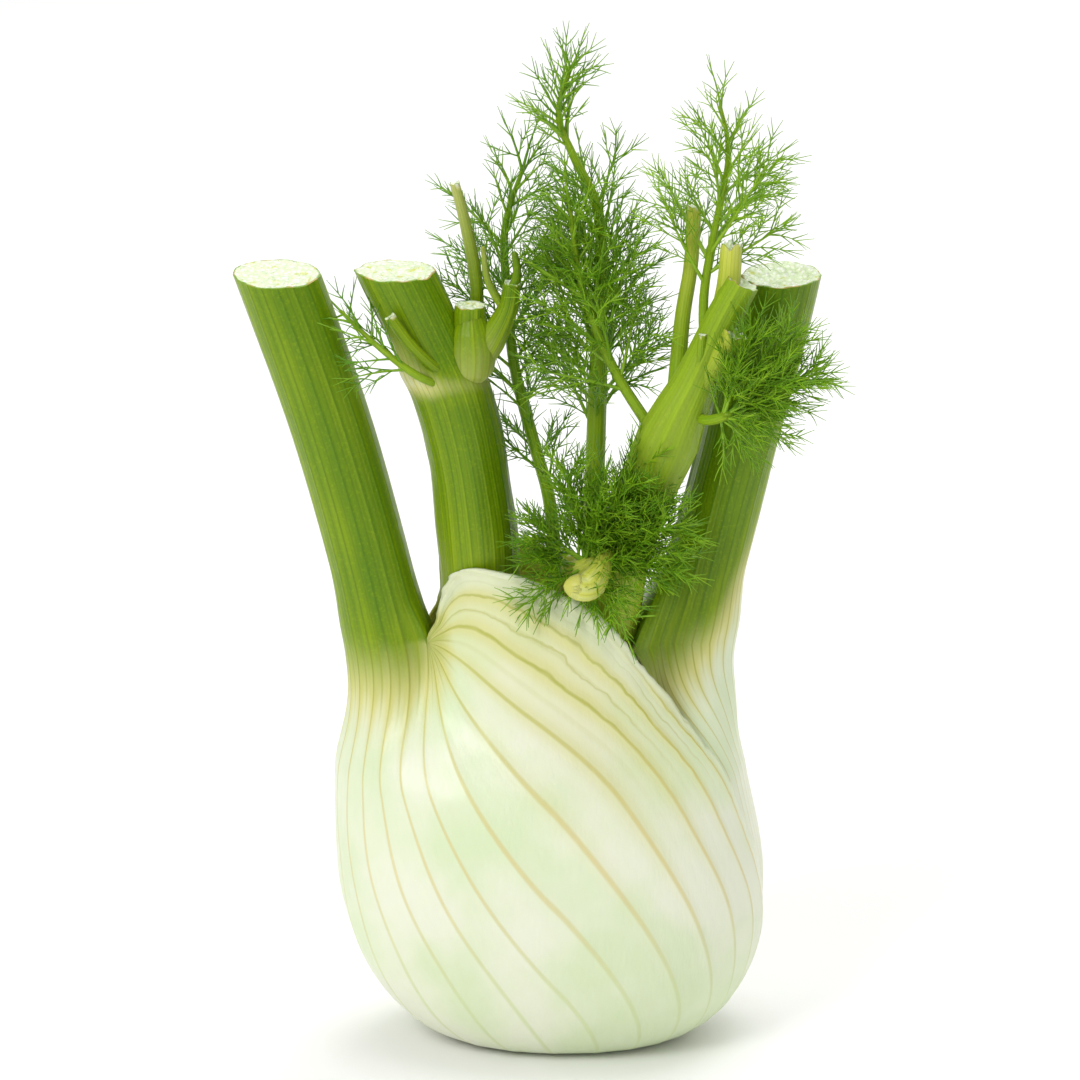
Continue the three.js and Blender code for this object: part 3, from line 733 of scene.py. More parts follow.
class NodeTree:
    """Builds a material's nodes."""

    def __init__(self, name: str) -> None:
        """Starts a material with a principled shader.

        Args:
            name: The material's name.
        """
        self.material = bpy.data.materials.new(name)
        self.material.use_nodes = True
        self.tree = self.material.node_tree
        self.shader = self.tree.nodes["Principled BSDF"]

    def node(self, kind: str, **values: object) -> bpy.types.Node:
        """Adds a node.

        Args:
            kind: The node's type.
            **values: Properties that it is given.

        Returns:
            The node.
        """
        made = self.tree.nodes.new(kind)
        for name, value in values.items():
            setattr(made, name, value)
        return made

    def feed(self, socket: bpy.types.NodeSocket, value: object) -> None:
        """Links a socket to another, or sets its value.

        Args:
            socket: The input.
            value: The socket that it is linked to, or its value.
        """
        if isinstance(value, bpy.types.NodeSocket):
            self.tree.links.new(value, socket)
        else:
            socket.default_value = value

    def mark(self, mark: Mark) -> bpy.types.NodeSocket:
        """The value of a mark."""
        return self.node("ShaderNodeAttribute", attribute_name=mark.value).outputs["Fac"]

    def place(self, stretch: Point = (1.0, 1.0, 1.0)) -> bpy.types.NodeSocket:
        """The object's own coordinates.

        Args:
            stretch: How much they are stretched on each axis.

        Returns:
            The coordinates' socket.
        """
        coordinates = self.node("ShaderNodeTexCoord")
        mapping = self.node("ShaderNodeMapping")
        self.feed(mapping.inputs["Vector"], coordinates.outputs["Object"])
        mapping.inputs["Scale"].default_value = stretch
        return mapping.outputs["Vector"]

    def math(self, operation: str, *values: object, clamp: bool = False) -> bpy.types.NodeSocket:
        """A sum of one or two values.

        Args:
            operation: The node's operation.
            *values: The values or sockets.
            clamp: Whether the result is kept between 0 and 1.

        Returns:
            The result's socket.
        """
        made = self.node("ShaderNodeMath", operation=operation, use_clamp=clamp)
        for number, value in enumerate(values):
            self.feed(made.inputs[number], value)
        return made.outputs[0]

    def times(self, first: object, second: object) -> bpy.types.NodeSocket:
        """The product of two values."""
        return self.math("MULTIPLY", first, second)

    def plus(self, first: object, second: object, clamp: bool = False) -> bpy.types.NodeSocket:
        """The sum of two values, kept between 0 and 1 if asked."""
        return self.math("ADD", first, second, clamp=clamp)

    def minus(self, first: object, second: float = 0.5) -> bpy.types.NodeSocket:
        """A value less another, or less the middle of a noise."""
        return self.math("SUBTRACT", first, second)

    def step(self, value: object, step: Step) -> bpy.types.NodeSocket:
        """A soft step.

        Args:
            value: The socket to step.
            step: The step.

        Returns:
            The result's socket.
        """
        made = self.node("ShaderNodeMapRange", interpolation_type="SMOOTHSTEP")
        for number, given in enumerate((value, step.low, step.high, step.first, step.last)):
            self.feed(made.inputs[number], given)
        return made.outputs[0]

    def mix(self, share: object, first: object, second: object) -> bpy.types.NodeSocket:
        """A colour between two.

        Args:
            share: How much of the second it has.
            first: The first colour.
            second: The second colour.

        Returns:
            The colour's socket.
        """
        made = self.node("ShaderNodeMix", data_type="RGBA")
        self.feed(made.inputs[0], share)
        self.feed(made.inputs[6], first)
        self.feed(made.inputs[7], second)
        return made.outputs[2]

    def noise(self, scale: float, detail: float, stretch: Point = (1.0, 1.0, 1.0)) -> bpy.types.NodeSocket:
        """Noise in the object's own coordinates.

        Args:
            scale: Its scale, per metre.
            detail: Its detail.
            stretch: How much the coordinates are stretched on each axis.

        Returns:
            The noise's socket.
        """
        made = self.node("ShaderNodeTexNoise")
        self.feed(made.inputs["Vector"], self.place(stretch))
        made.inputs["Scale"].default_value = scale
        made.inputs["Detail"].default_value = detail
        return made.outputs["Fac"]

    def bands(self, line: object, scale: float, detail: float = 4.0) -> bpy.types.NodeSocket:
        """Noise that changes only across the lines.

        Args:
            line: The numbers of the lines.
            scale: Its scale, per line.
            detail: Its detail.

        Returns:
            The noise's socket.
        """
        made = self.node("ShaderNodeTexNoise", noise_dimensions="1D")
        self.feed(made.inputs["W"], line)
        made.inputs["Scale"].default_value = scale
        made.inputs["Detail"].default_value = detail
        return made.outputs["Fac"]

    def near_line(self, line: object) -> bpy.types.NodeSocket:
        """How far a value lies from the nearest whole number."""
        moved = self.math("FRACT", self.plus(line, 0.5))
        return self.math("ABSOLUTE", self.minus(moved))

    def bump(self, height: object, distance: float) -> None:
        """Gives the shader a bump.

        Args:
            height: The socket of its shape.
            distance: Its height in metres.
        """
        made = self.node("ShaderNodeBump")
        self.feed(made.inputs["Height"], height)
        made.inputs["Distance"].default_value = distance
        self.feed(self.shader.inputs["Normal"], made.outputs["Normal"])

    def surface(self, **values: object) -> None:
        """Sets inputs of the shader by their names with spaces written as underscores."""
        for name, value in values.items():
            self.feed(self.shader.inputs[name.replace("_", " ")], value)


@dataclass(frozen=True)
class LeafFinish:
    """The skin of sheaths and stalks: pale with drawn veins, or green with pale stripes."""

    name: str = "leaf_skin"
    pale: Colour = srgb(233, 236, 214)
    tinted: Colour = srgb(216, 229, 190)
    tan: Colour = srgb(212, 209, 134)
    vein_low: Colour = srgb(205, 216, 160)
    vein_mid: Colour = srgb(213, 196, 124)
    vein_high: Colour = srgb(182, 182, 74)
    olive: Colour = srgb(134, 144, 18)
    stalk: Colour = srgb(150, 174, 12)
    stalk_dark: Colour = srgb(82, 122, 0)
    deep: Colour = srgb(74, 106, 0)
    paper: Colour = srgb(219, 228, 205)
    vein_step: Step = Step(0.015, 0.075, 1.0, 0.0)
    halo_step: Step = Step(0.0, 0.4, 1.0, 0.0)
    branch_step: Step = Step(0.02, 0.1, 1.0, 0.0)
    branch_rim: Step = Step(0.1, 0.6, 0.0, 0.6)
    fine_step: Step = Step(0.1, 0.42, 1.0, 0.0)
    between_step: Step = Step(0.02, 0.09, 1.0, 0.0)
    between_green: Step = Step(0.12, 0.45, 0.0, 0.4)
    tinting: Step = Step(0.36, 0.66)
    tanning: Step = Step(0.08, 0.5)
    streaking: Step = Step(0.2, 0.8)
    darkening: Step = Step(0.78, 1.0, 0.0, 0.62)
    speckling: Step = Step(0.5, 0.72, 0.0, 0.3)
    stalk_step: Step = Step(0.3, 0.76)
    mid_step: Step = Step(0.12, 0.5)
    high_step: Step = Step(0.5, 0.9)
    olive_step: Step = Step(0.15, 0.55)
    deep_step: Step = Step(0.55, 0.95)
    strength_green: Step = Step(0.5, 1.0, 0.62, 0.5)
    strength_rim: Step = Step(0.35, 1.0, 1.0, 0.25)
    paper_step: Step = Step(0.55, 1.0, 0.0, 0.6)
    roughness: Step = Step(0.2, 0.8, 0.3, 0.5)
    coat: Step = Step(0.1, 0.6, 0.24, 0.04)
    wander_scale: float = 110.0
    wander: float = 0.7
    broad_scale: float = 34.0
    band_scale: float = 1.4
    band_share: float = 0.7
    patch_scale: float = 90.0
    speck_scale: float = 1500.0
    grain_scale: float = 900.0
    halo_warmth: float = 0.12
    fine_share: float = 0.22
    streak_shift: float = 0.3
    fine_relief: float = 0.25
    grain_height: float = 0.00012

    def build(self) -> bpy.types.Material:
        """Makes the material.

        Returns:
            The material.
        """
        tree = NodeTree(self.name)
        green = tree.mark(Mark.GREEN)
        rim = tree.mark(Mark.RIM)
        wander = tree.times(tree.minus(tree.noise(self.wander_scale, 3.0)), self.wander)
        line = tree.plus(tree.mark(Mark.LINE), tree.times(wander, rim))
        near = tree.near_line(line)
        fine = tree.step(tree.near_line(tree.times(line, FINE_RIBS)), self.fine_step)
        patches = tree.times(tree.noise(self.patch_scale, 2.0, (1.0, 1.0, 0.3)), 1.0 - self.band_share)
        bands = tree.times(tree.bands(tree.mark(Mark.LINE), self.band_scale), self.band_share)
        streaks = tree.plus(bands, patches)
        warm = tree.plus(green, tree.times(tree.step(near, self.halo_step), self.halo_warmth))
        pale = tree.mix(tree.step(tree.noise(self.broad_scale, 3.0), self.tinting), self.pale, self.tinted)
        ground = tree.mix(tree.step(warm, self.tanning), pale, self.tan)
        share = tree.plus(green, tree.times(tree.minus(streaks), self.streak_shift))
        stalk = self.stalk_colour(tree, green, streaks, fine)
        ground = tree.mix(tree.step(share, self.stalk_step), ground, stalk)
        branch = tree.near_line(tree.plus(tree.times(line, 2.0), wander))
        branch = tree.times(tree.step(branch, self.branch_step), tree.step(rim, self.branch_rim))
        between = tree.step(tree.near_line(tree.plus(line, 0.5)), self.between_step)
        between = tree.times(between, tree.step(green, self.between_green))
        strength = tree.times(tree.step(green, self.strength_green), tree.step(near, self.vein_step))
        strength = tree.plus(strength, tree.math("MAXIMUM", branch, between), clamp=True)
        strength = tree.times(strength, tree.step(rim, self.strength_rim))
        colour = tree.mix(strength, ground, self.vein_colour(tree, green))
        colour = tree.mix(tree.step(rim, self.paper_step), colour, self.paper)
        grain = tree.noise(self.grain_scale, 4.0, (1.0, 1.0, 0.25))
        tree.surface(Base_Color=colour, Roughness=tree.step(grain, self.roughness), IOR=1.4)
        tree.surface(Subsurface_Weight=0.18, Subsurface_Scale=0.004, Subsurface_Radius=(1.0, 0.9, 0.5))
        tree.surface(Coat_Weight=tree.step(green, self.coat), Coat_Roughness=0.28, Specular_IOR_Level=0.34)
        tree.bump(tree.plus(tree.times(fine, self.fine_relief), grain), self.grain_height)
        return tree.material

    def stalk_colour(
        self,
        tree: NodeTree,
        green: bpy.types.NodeSocket,
        streaks: bpy.types.NodeSocket,
        fine: bpy.types.NodeSocket,
    ) -> bpy.types.NodeSocket:
        """The green of a stalk with its stripes and specks.

        Args:
            tree: The material's nodes.
            green: How green the skin is.
            streaks: Its broad stripes.
            fine: Its fine stripes.

        Returns:
            The colour's socket.
        """
        colour = tree.mix(tree.step(streaks, self.streaking), self.stalk_dark, self.stalk)
        colour = tree.mix(tree.times(fine, self.fine_share), colour, self.stalk_dark)
        # Deepest green where the green mark is highest; the painted edge sheen lowers that mark, so the
        # stalks' edges come out lighter.
        colour = tree.mix(tree.step(green, self.darkening), colour, self.stalk_dark)
        return tree.mix(tree.step(tree.noise(self.speck_scale, 2.0), self.speckling), colour, self.stalk)

    def vein_colour(self, tree: NodeTree, green: bpy.types.NodeSocket) -> bpy.types.NodeSocket:
        """The colour of a vein, by its height and by the green round it.

        Args:
            tree: The material's nodes.
            green: How green the skin is.

        Returns:
            The colour's socket.
        """
        height = tree.mark(Mark.TONE)
        colour = tree.mix(tree.step(height, self.mid_step), self.vein_low, self.vein_mid)
        colour = tree.mix(tree.step(height, self.high_step), colour, self.vein_high)
        colour = tree.mix(tree.step(green, self.olive_step), colour, self.olive)
        return tree.mix(tree.step(green, self.deep_step), colour, self.deep)


@dataclass(frozen=True)
class CutFinish:
    """A cut through a stalk: pale wet cells with white and yellow specks and a green skin round it."""

    name: str = "cut_flesh"
    flesh: Colour = srgb(222, 236, 196)
    white: Colour = srgb(246, 249, 236)
    yellow: Colour = srgb(206, 212, 110)
    skin: Colour = srgb(120, 158, 30)
    brown: Colour = srgb(176, 150, 70)
    cell_scale: float = 900.0
    broad_scale: float = 500.0
    brown_scale: float = 260.0
    cell_step: Step = Step(0.15, 0.6)
    yellow_step: Step = Step(0.56, 0.72)
    brown_step: Step = Step(0.48, 0.6)
    edge_step: Step = Step(0.93, 0.985)
    roughness: Step = Step(0.3, 0.7, 0.2, 0.45)
    height: float = 0.0005

    def build(self) -> bpy.types.Material:
        """Makes the material.

        Returns:
            The material.
        """
        tree = NodeTree(self.name)
        cells = tree.node("ShaderNodeTexVoronoi")
        tree.feed(cells.inputs["Vector"], tree.place())
        cells.inputs["Scale"].default_value = self.cell_scale
        broad = tree.noise(self.broad_scale, 3.0)
        colour = tree.mix(tree.step(cells.outputs["Distance"], self.cell_step), self.white, self.flesh)
        colour = tree.mix(tree.step(broad, self.yellow_step), colour, self.yellow)
        edge = tree.mix(tree.step(tree.noise(self.brown_scale, 3.0), self.brown_step), self.skin, self.brown)
        colour = tree.mix(tree.step(tree.mark(Mark.LINE), self.edge_step), colour, edge)
        tree.surface(Base_Color=colour, Roughness=tree.step(broad, self.roughness), Coat_Weight=0.2)
        tree.surface(Subsurface_Weight=0.2, Subsurface_Radius=(1.0, 1.0, 0.6), Subsurface_Scale=0.003)
        tree.bump(tree.plus(cells.outputs["Distance"], broad), self.height)
        return tree.material


@dataclass(frozen=True)
class FrondFinish:
    """The fine threads and thin stems of the fronds."""

    name: str = "frond_green"
    dark: Colour = srgb(86, 142, 6)
    light: Colour = srgb(158, 200, 34)
    stem: Colour = srgb(156, 192, 50)
    stem_dark: Colour = srgb(100, 150, 16)
    unevenness: float = 0.5
    uneven_scale: float = 300.0
    grain_scale: float = 1500.0
    grain_height: float = 0.0001
    thread_step: Step = Step(0.2, 0.8)
    roughness: Step = Step(0.3, 0.7, 0.35, 0.55)

    def build(self) -> bpy.types.Material:
        """Makes the material.

        Returns:
            The material.
        """
        tree = NodeTree(self.name)
        uneven = tree.noise(self.uneven_scale, 2.0)
        share = tree.times(tree.minus(uneven), self.unevenness)
        share = tree.plus(tree.mark(Mark.TONE), share, clamp=True)
        thread = tree.mix(share, self.dark, self.light)
        stem = tree.mix(share, self.stem_dark, self.stem)
        colour = tree.mix(tree.step(tree.mark(Mark.GREEN), self.thread_step), stem, thread)
        tree.surface(Base_Color=colour, Roughness=tree.step(uneven, self.roughness), IOR=1.4)
        tree.bump(tree.noise(self.grain_scale, 2.0), self.grain_height)
        return tree.material


@dataclass(frozen=True)
class RootFinish:
    """The trimmed root plate under the bulb."""

    name: str = "root_plate"
    pale: Colour = srgb(228, 224, 196)
    brown: Colour = srgb(186, 168, 118)
    rings: float = 6.0
    ring_share: float = 0.6
    patch_from: float = 0.45
    patch_scale: float = 260.0
    patch_height: float = 0.0008
    roughness: Step = Step(0.3, 0.7, 0.6, 0.85)

    def build(self) -> bpy.types.Material:
        """Makes the material.

        Returns:
            The material.
        """
        tree = NodeTree(self.name)
        rings = tree.near_line(tree.times(tree.mark(Mark.LINE), self.rings))
        patch = tree.noise(self.patch_scale, 5.0)
        share = tree.plus(tree.times(rings, self.ring_share), tree.minus(patch, self.patch_from), clamp=True)
        colour = tree.mix(share, self.pale, self.brown)
        tree.surface(Base_Color=colour, Roughness=tree.step(patch, self.roughness))
        tree.bump(patch, self.patch_height)
        return tree.material


@dataclass
class Finishes:
    """All the materials."""

    leaf: bpy.types.Material = field(default_factory=lambda: LeafFinish().build())
    young: bpy.types.Material = field(default_factory=lambda: LeafFinish(
        name="young_skin", stalk=srgb(158, 186, 34), stalk_dark=srgb(104, 148, 10), olive=srgb(150, 172, 34),
        deep=srgb(84, 128, 6), tan=srgb(208, 210, 84),
    ).build())
    cut: bpy.types.Material = field(default_factory=lambda: CutFinish().build())
    frond: bpy.types.Material = field(default_factory=lambda: FrondFinish().build())
    root: bpy.types.Material = field(default_factory=lambda: RootFinish().build())


@dataclass(frozen=True)
class StalkSkin:
    """The low relief of a cut stalk, in millimetres."""

    rib: float
    rib_width: float
    fine: float
    uneven: float
    uneven_rise: float
    seed: int

    def relief(self, line: Array, turn: Array, height: Array) -> Array:
        """How far the skin stands out.

        Args:
            line: Stripe numbers.
            turn: Angles in degrees.
            height: Heights.

        Returns:
            The relief.
        """
        ribs = self.rib * ridge(line, self.rib_width) + self.fine * ridge(line * FINE_RIBS, FINE_RIB_WIDTH)
        return ribs + self.uneven * waves(turn / 90.0, height * self.uneven_rise, self.seed)


def hand_over(piece: bpy.types.Object, node: str) -> bpy.types.Object:
    """Lets a piece stand for its solid.

    Args:
        piece: The piece.
        node: The solid's name.

    Returns:
        The piece.
    """
    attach(piece, "root")
    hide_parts(node)
    return piece


@dataclass
class LeftLeaf:
    """The outer sheath: its fan of veins, the papery collar and the cut left stalk."""

    finishes: Finishes
    veins: float = 12.5
    cut_z: float = 174.0
    rows: int = 130
    row_power: float = 1.5
    stalk_rows: int = 60
    back_columns: int = 21
    back_fade: float = 45.0
    thickness: float = 4.7
    throat: float = 1.5
    throat_z: tuple[float, float] = (74.0, 96.0)
    margin: float = 1.1
    margin_from: float = 0.82
    margin_out: float = 0.006
    vein_relief: float = 0.24
    vein_ridge: float = 0.13
    vein_loss: float = 0.7
    vein_top: tuple[float, float] = (-0.02, 0.12)
    vein_edge: tuple[float, float] = (0.93, 1.0)
    swell: float = 0.35
    swell_top: tuple[float, float] = (0.05, 0.3)
    foot_z: float = 9.0
    crumple: float = 0.32
    crumple_edge: tuple[float, float] = (0.84, 0.97)
    crumple_top: tuple[float, float] = (0.02, 0.15)
    crumple_down: tuple[float, float] = (0.55, 0.8)
    notch_edge: tuple[float, float] = (0.94, 1.0)
    notch_top: tuple[float, float] = (0.02, 0.08)
    notches: tuple[tuple[float, float, int], ...] = ((0.009, 16.0, 21), (0.006, 47.0, 22))
    foot_from: float = 0.98
    crotch_fade: float = 11.0
    rim_lift: float = 4.6
    rim_lift_place: float = 0.57
    rim_lift_width: float = 0.15
    rim_lift_from: float = 0.55
    green_from: tuple[float, float] = (58.0, 111.0)
    own_to_fan: tuple[float, float] = (0.36, 0.52)
    stalk_green: float = 0.97
    fan_green: float = 0.5
    fan_green_end: float = 0.26
    rim_green: float = 0.3
    rim_green_from: tuple[float, float] = (0.5, 0.86)
    rim_green_down: tuple[float, float] = (0.5, 0.95)
    rim_from: tuple[float, float] = (0.7, 1.0)
    rim_down: tuple[float, float] = (0.55, 0.85)
    rim_top: tuple[float, float] = (0.0, 0.1)
    # painted highlight: paler green towards the stalk's silhouette edges, standing in for the sheen of light
    # along them
    painted_sheen_pale: float = 0.22
    painted_sheen_bell: tuple[float, float] = (112.0, 62.0)
    green_uneven: float = 0.05
    skin: StalkSkin = StalkSkin(0.1, 0.16, 0.05, 0.2, 0.02, 9)
    tear: float = 0.14
    tear_seed: int = 62
    cut_drop: float = 0.85
    dish: float = 0.5

    def columns(self) -> Array:
        """Vein numbers of the columns, close together on each vein.

        Returns:
            The numbers, negative at the back.
        """
        offsets = (-0.5, -0.3, -0.17, -0.08, 0.0, 0.08, 0.17, 0.3)
        last = int(self.veins)
        numbers = [k + o for k in range(-last, last + 1) for o in offsets]
        return np.array(numbers + [self.veins])

    def shares(self) -> Array:
        """Places along the veins, closer together at the base."""
        return 1.0 - (1.0 - np.linspace(0.0, 1.0, self.rows)) ** self.row_power

    def greening(self, z: Array) -> Array:
        """How green the sheath grows towards the stalk."""
        return smoothstep(z, *self.green_from)

    def relief(self, number: Array, t: Array, z: Array) -> Array:
        """How far the skin stands out.

        Args:
            number: Vein numbers.
            t: Places along the veins.
            z: Heights.

        Returns:
            The relief in millimetres.
        """
        u = np.abs(number) / self.veins
        veins = self.vein_relief * ridge(np.abs(number), self.vein_ridge) * smoothstep(t, *self.vein_top)
        veins = veins * (1.0 - self.vein_loss * smoothstep(u, *self.vein_edge))
        broad = self.swell * waves(number * 0.16, z * 0.022, 5) * smoothstep(t, *self.swell_top)
        broad = broad * smoothstep(z, 0.0, self.foot_z)
        paper = self.crumple * waves(number * 0.9, t * 9.0, 8)
        paper = paper * smoothstep(u, *self.crumple_edge) * smoothstep(t, *self.crumple_top)
        return veins + broad + paper * (1.0 - smoothstep(t, *self.crumple_down))

    def place(self, u: Array, t: Array) -> tuple[Array, Array]:
        """Where a vein runs, with the small notches and the lift of the rim.

        Args:
            u: The vein's place, from 0 at the stalk to 1 at the margin.
            t: How far along it, from 0 at the top to 1 at the base.

        Returns:
            Angles in degrees and heights in millimetres.
        """
        notch = sum(size * waves(t * pace, t * 0.0, seed) for size, pace, seed in self.notches)
        above_foot = t < self.foot_from
        near_rim = smoothstep(u, *self.notch_edge) * smoothstep(t, *self.notch_top)
        ragged = u * (1.0 + notch * near_rim * above_foot)
        angle, z = FORM.vein_place(ragged, t)
        lift = self.rim_lift * bell(t, self.rim_lift_place, self.rim_lift_width)
        return angle, z + lift * smoothstep(u, self.rim_lift_from, 1.0) * above_foot

    def sheath(self, numbers: Array) -> tuple[Array, dict[Mark, Array]]:
        """The outer skin below the stalk, columns by rows.

        Args:
            numbers: Vein numbers of its columns.

        Returns:
            The points and the marks.
        """
        number, t = np.meshgrid(numbers, self.shares(), indexing="ij")
        u = np.abs(number) / self.veins
        angle, z = self.place(u, t)
        points = FORM.sheath_point(angle * np.where(number < 0, -1.0, 1.0), z, -self.relief(number, t, z))
        to_fan = smoothstep(u, *self.own_to_fan)
        down = self.stalk_green * self.greening(z) * (1.0 - to_fan)
        fan = self.fan_green * smoothstep(self.fan_green_end - t, 0.0, self.fan_green_end) * to_fan
        late = smoothstep(u, *self.rim_green_from) * (1.0 - smoothstep(t, *self.rim_green_down))
        rim = smoothstep(u, *self.rim_from) * (1.0 - smoothstep(t, *self.rim_down))
        marks = {
            Mark.LINE: np.abs(number),
            Mark.GREEN: np.maximum(down + fan, self.rim_green * late),
            Mark.TONE: z / 100.0,
            Mark.RIM: rim * smoothstep(t, *self.rim_top),
        }
        return points, marks

    def stalk(self, turns: Array, offsets: Array) -> tuple[Array, dict[Mark, Array]]:
        """The skin of the stalk above the crotch.

        Args:
            turns: Angles of its columns in degrees, from the left side through the front.
            offsets: How far each column's foot is drawn aside to meet the sheath.

        Returns:
            The points, top row first, and the marks.
        """
        z = np.linspace(self.cut_z, FORM.neck_z, self.stalk_rows)
        turn, height = np.meshgrid(turns, z, indexing="ij")
        height[:, 0] += self.tear * torn(turns, self.tear_seed) - self.cut_drop * np.sin(np.radians(turns))
        around = way_round(turn)
        line = around / (FORM.stalk_angle / (FORM.crotch_share * self.veins))
        fade = 1.0 - smoothstep(height, FORM.neck_z, FORM.neck_z + self.crotch_fade)
        relief = self.skin.relief(line, turn, height) * (1.0 - fade)
        points = LEFT_STALK.point(turn, height, -relief) + offsets[:, None] * fade[..., None]
        # Painted sheen: the green falls away from the camera-facing front, so the stalk's silhouette edges
        # come out paler as if catching light.
        edge = self.painted_sheen_pale * (1.0 - bell(around, *self.painted_sheen_bell)) * (1.0 - fade)
        uneven = self.green_uneven * waves(turn / 60.0, height * 0.02, 31)
        green = (self.stalk_green - edge + uneven) * self.greening(height)
        return points, {Mark.LINE: line, Mark.GREEN: green, Mark.TONE: 1.0}

    def build(self) -> bpy.types.Object:
        """Builds the piece.

        Returns:
            The piece.
        """
        parts = MeshParts()
        numbers = self.columns()
        edge = FORM.crotch_share * self.veins
        inner = numbers[np.abs(numbers) <= edge + 1e-6]
        turns = inner / edge * FORM.stalk_angle
        below, below_marks = self.sheath(inner)
        offsets = below[:, 0] - LEFT_STALK.point(turns, np.full(len(turns), FORM.neck_z))
        above, above_marks = self.stalk(turns, offsets)
        above[:, -1] = below[:, 0]
        joined = {
            mark: np.concatenate([
                np.broadcast_to(above_marks.get(mark, 0.0), above.shape[:2])[:, :-1],
                np.broadcast_to(below_marks[mark], below.shape[:2]),
            ], axis=1)
            for mark in Mark
        }
        parts.add_grid(np.concatenate([above[:, :-1], below], axis=1), joined)
        for side in (-1.0, 1.0):
            fan = numbers[numbers * side >= edge - 1e-6]
            points, marks = self.sheath(fan)
            parts.add_grid(points, marks)
        turns = np.linspace(FORM.stalk_angle, 360.0 - FORM.stalk_angle, self.back_columns)
        fade = 1.0 - smoothstep(turns - FORM.stalk_angle, 0.0, self.back_fade)
        back = 1.0 - smoothstep(360.0 - FORM.stalk_angle - turns, 0.0, self.back_fade)
        drawn = offsets[-1][None] * fade[:, None] + offsets[0][None] * back[:, None]
        points, marks = self.stalk(turns, drawn)
        points[0] = above[-1]
        points[-1] = above[0]
        parts.add_grid(points, marks)
        ring = np.concatenate([above[:, 0], points[1:-1, 0]])
        cap_rings(parts, ring[::-1], UP, self.dish, 1)
        self.add_inside(parts, numbers)
        return parts.build("left_leaf_skin", [self.finishes.leaf, self.finishes.cut])

    def add_inside(self, parts: MeshParts, numbers: Array) -> None:
        """Adds the inner skin, the margins and the foot.

        Args:
            parts: The piece.
            numbers: Vein numbers of the columns.
        """
        number, t = np.meshgrid(numbers, self.shares(), indexing="ij")
        u = np.abs(number) / self.veins
        angle, z = self.place(u, t)
        sign = np.where(number < 0, -1.0, 1.0)
        inset = lerp(self.thickness, self.throat, smoothstep(z, *self.throat_z))
        inset = lerp(inset, self.margin, smoothstep(u, self.margin_from, 1.0))
        inside = FORM.sheath_point(angle * sign, z, inset)
        marks = {Mark.LINE: np.abs(number), Mark.GREEN: 0.5, Mark.TONE: z / 100.0, Mark.RIM: 0.3}
        parts.add_grid(inside, marks, flip=True)
        outside, outside_marks = self.sheath(numbers)
        for column in (0, -1):
            edge_angle, edge_z = self.place(u[column] + self.margin_out, t[column])
            out = FORM.sheath_point(edge_angle * sign[column], edge_z, self.margin / 2.0)
            out[-1] = (outside[column, -1] + inside[column, -1]) / 2.0
            strip = np.stack([outside[column], out, inside[column]])
            own = {mark: np.broadcast_to(outside_marks[mark][column], strip.shape[:2]) for mark in Mark}
            parts.add_grid(strip, own, flip=column == 0)
        foot = np.stack([outside[:, -1], inside[:, -1]], axis=1)
        parts.add_grid(foot, {Mark.TONE: 0.0})


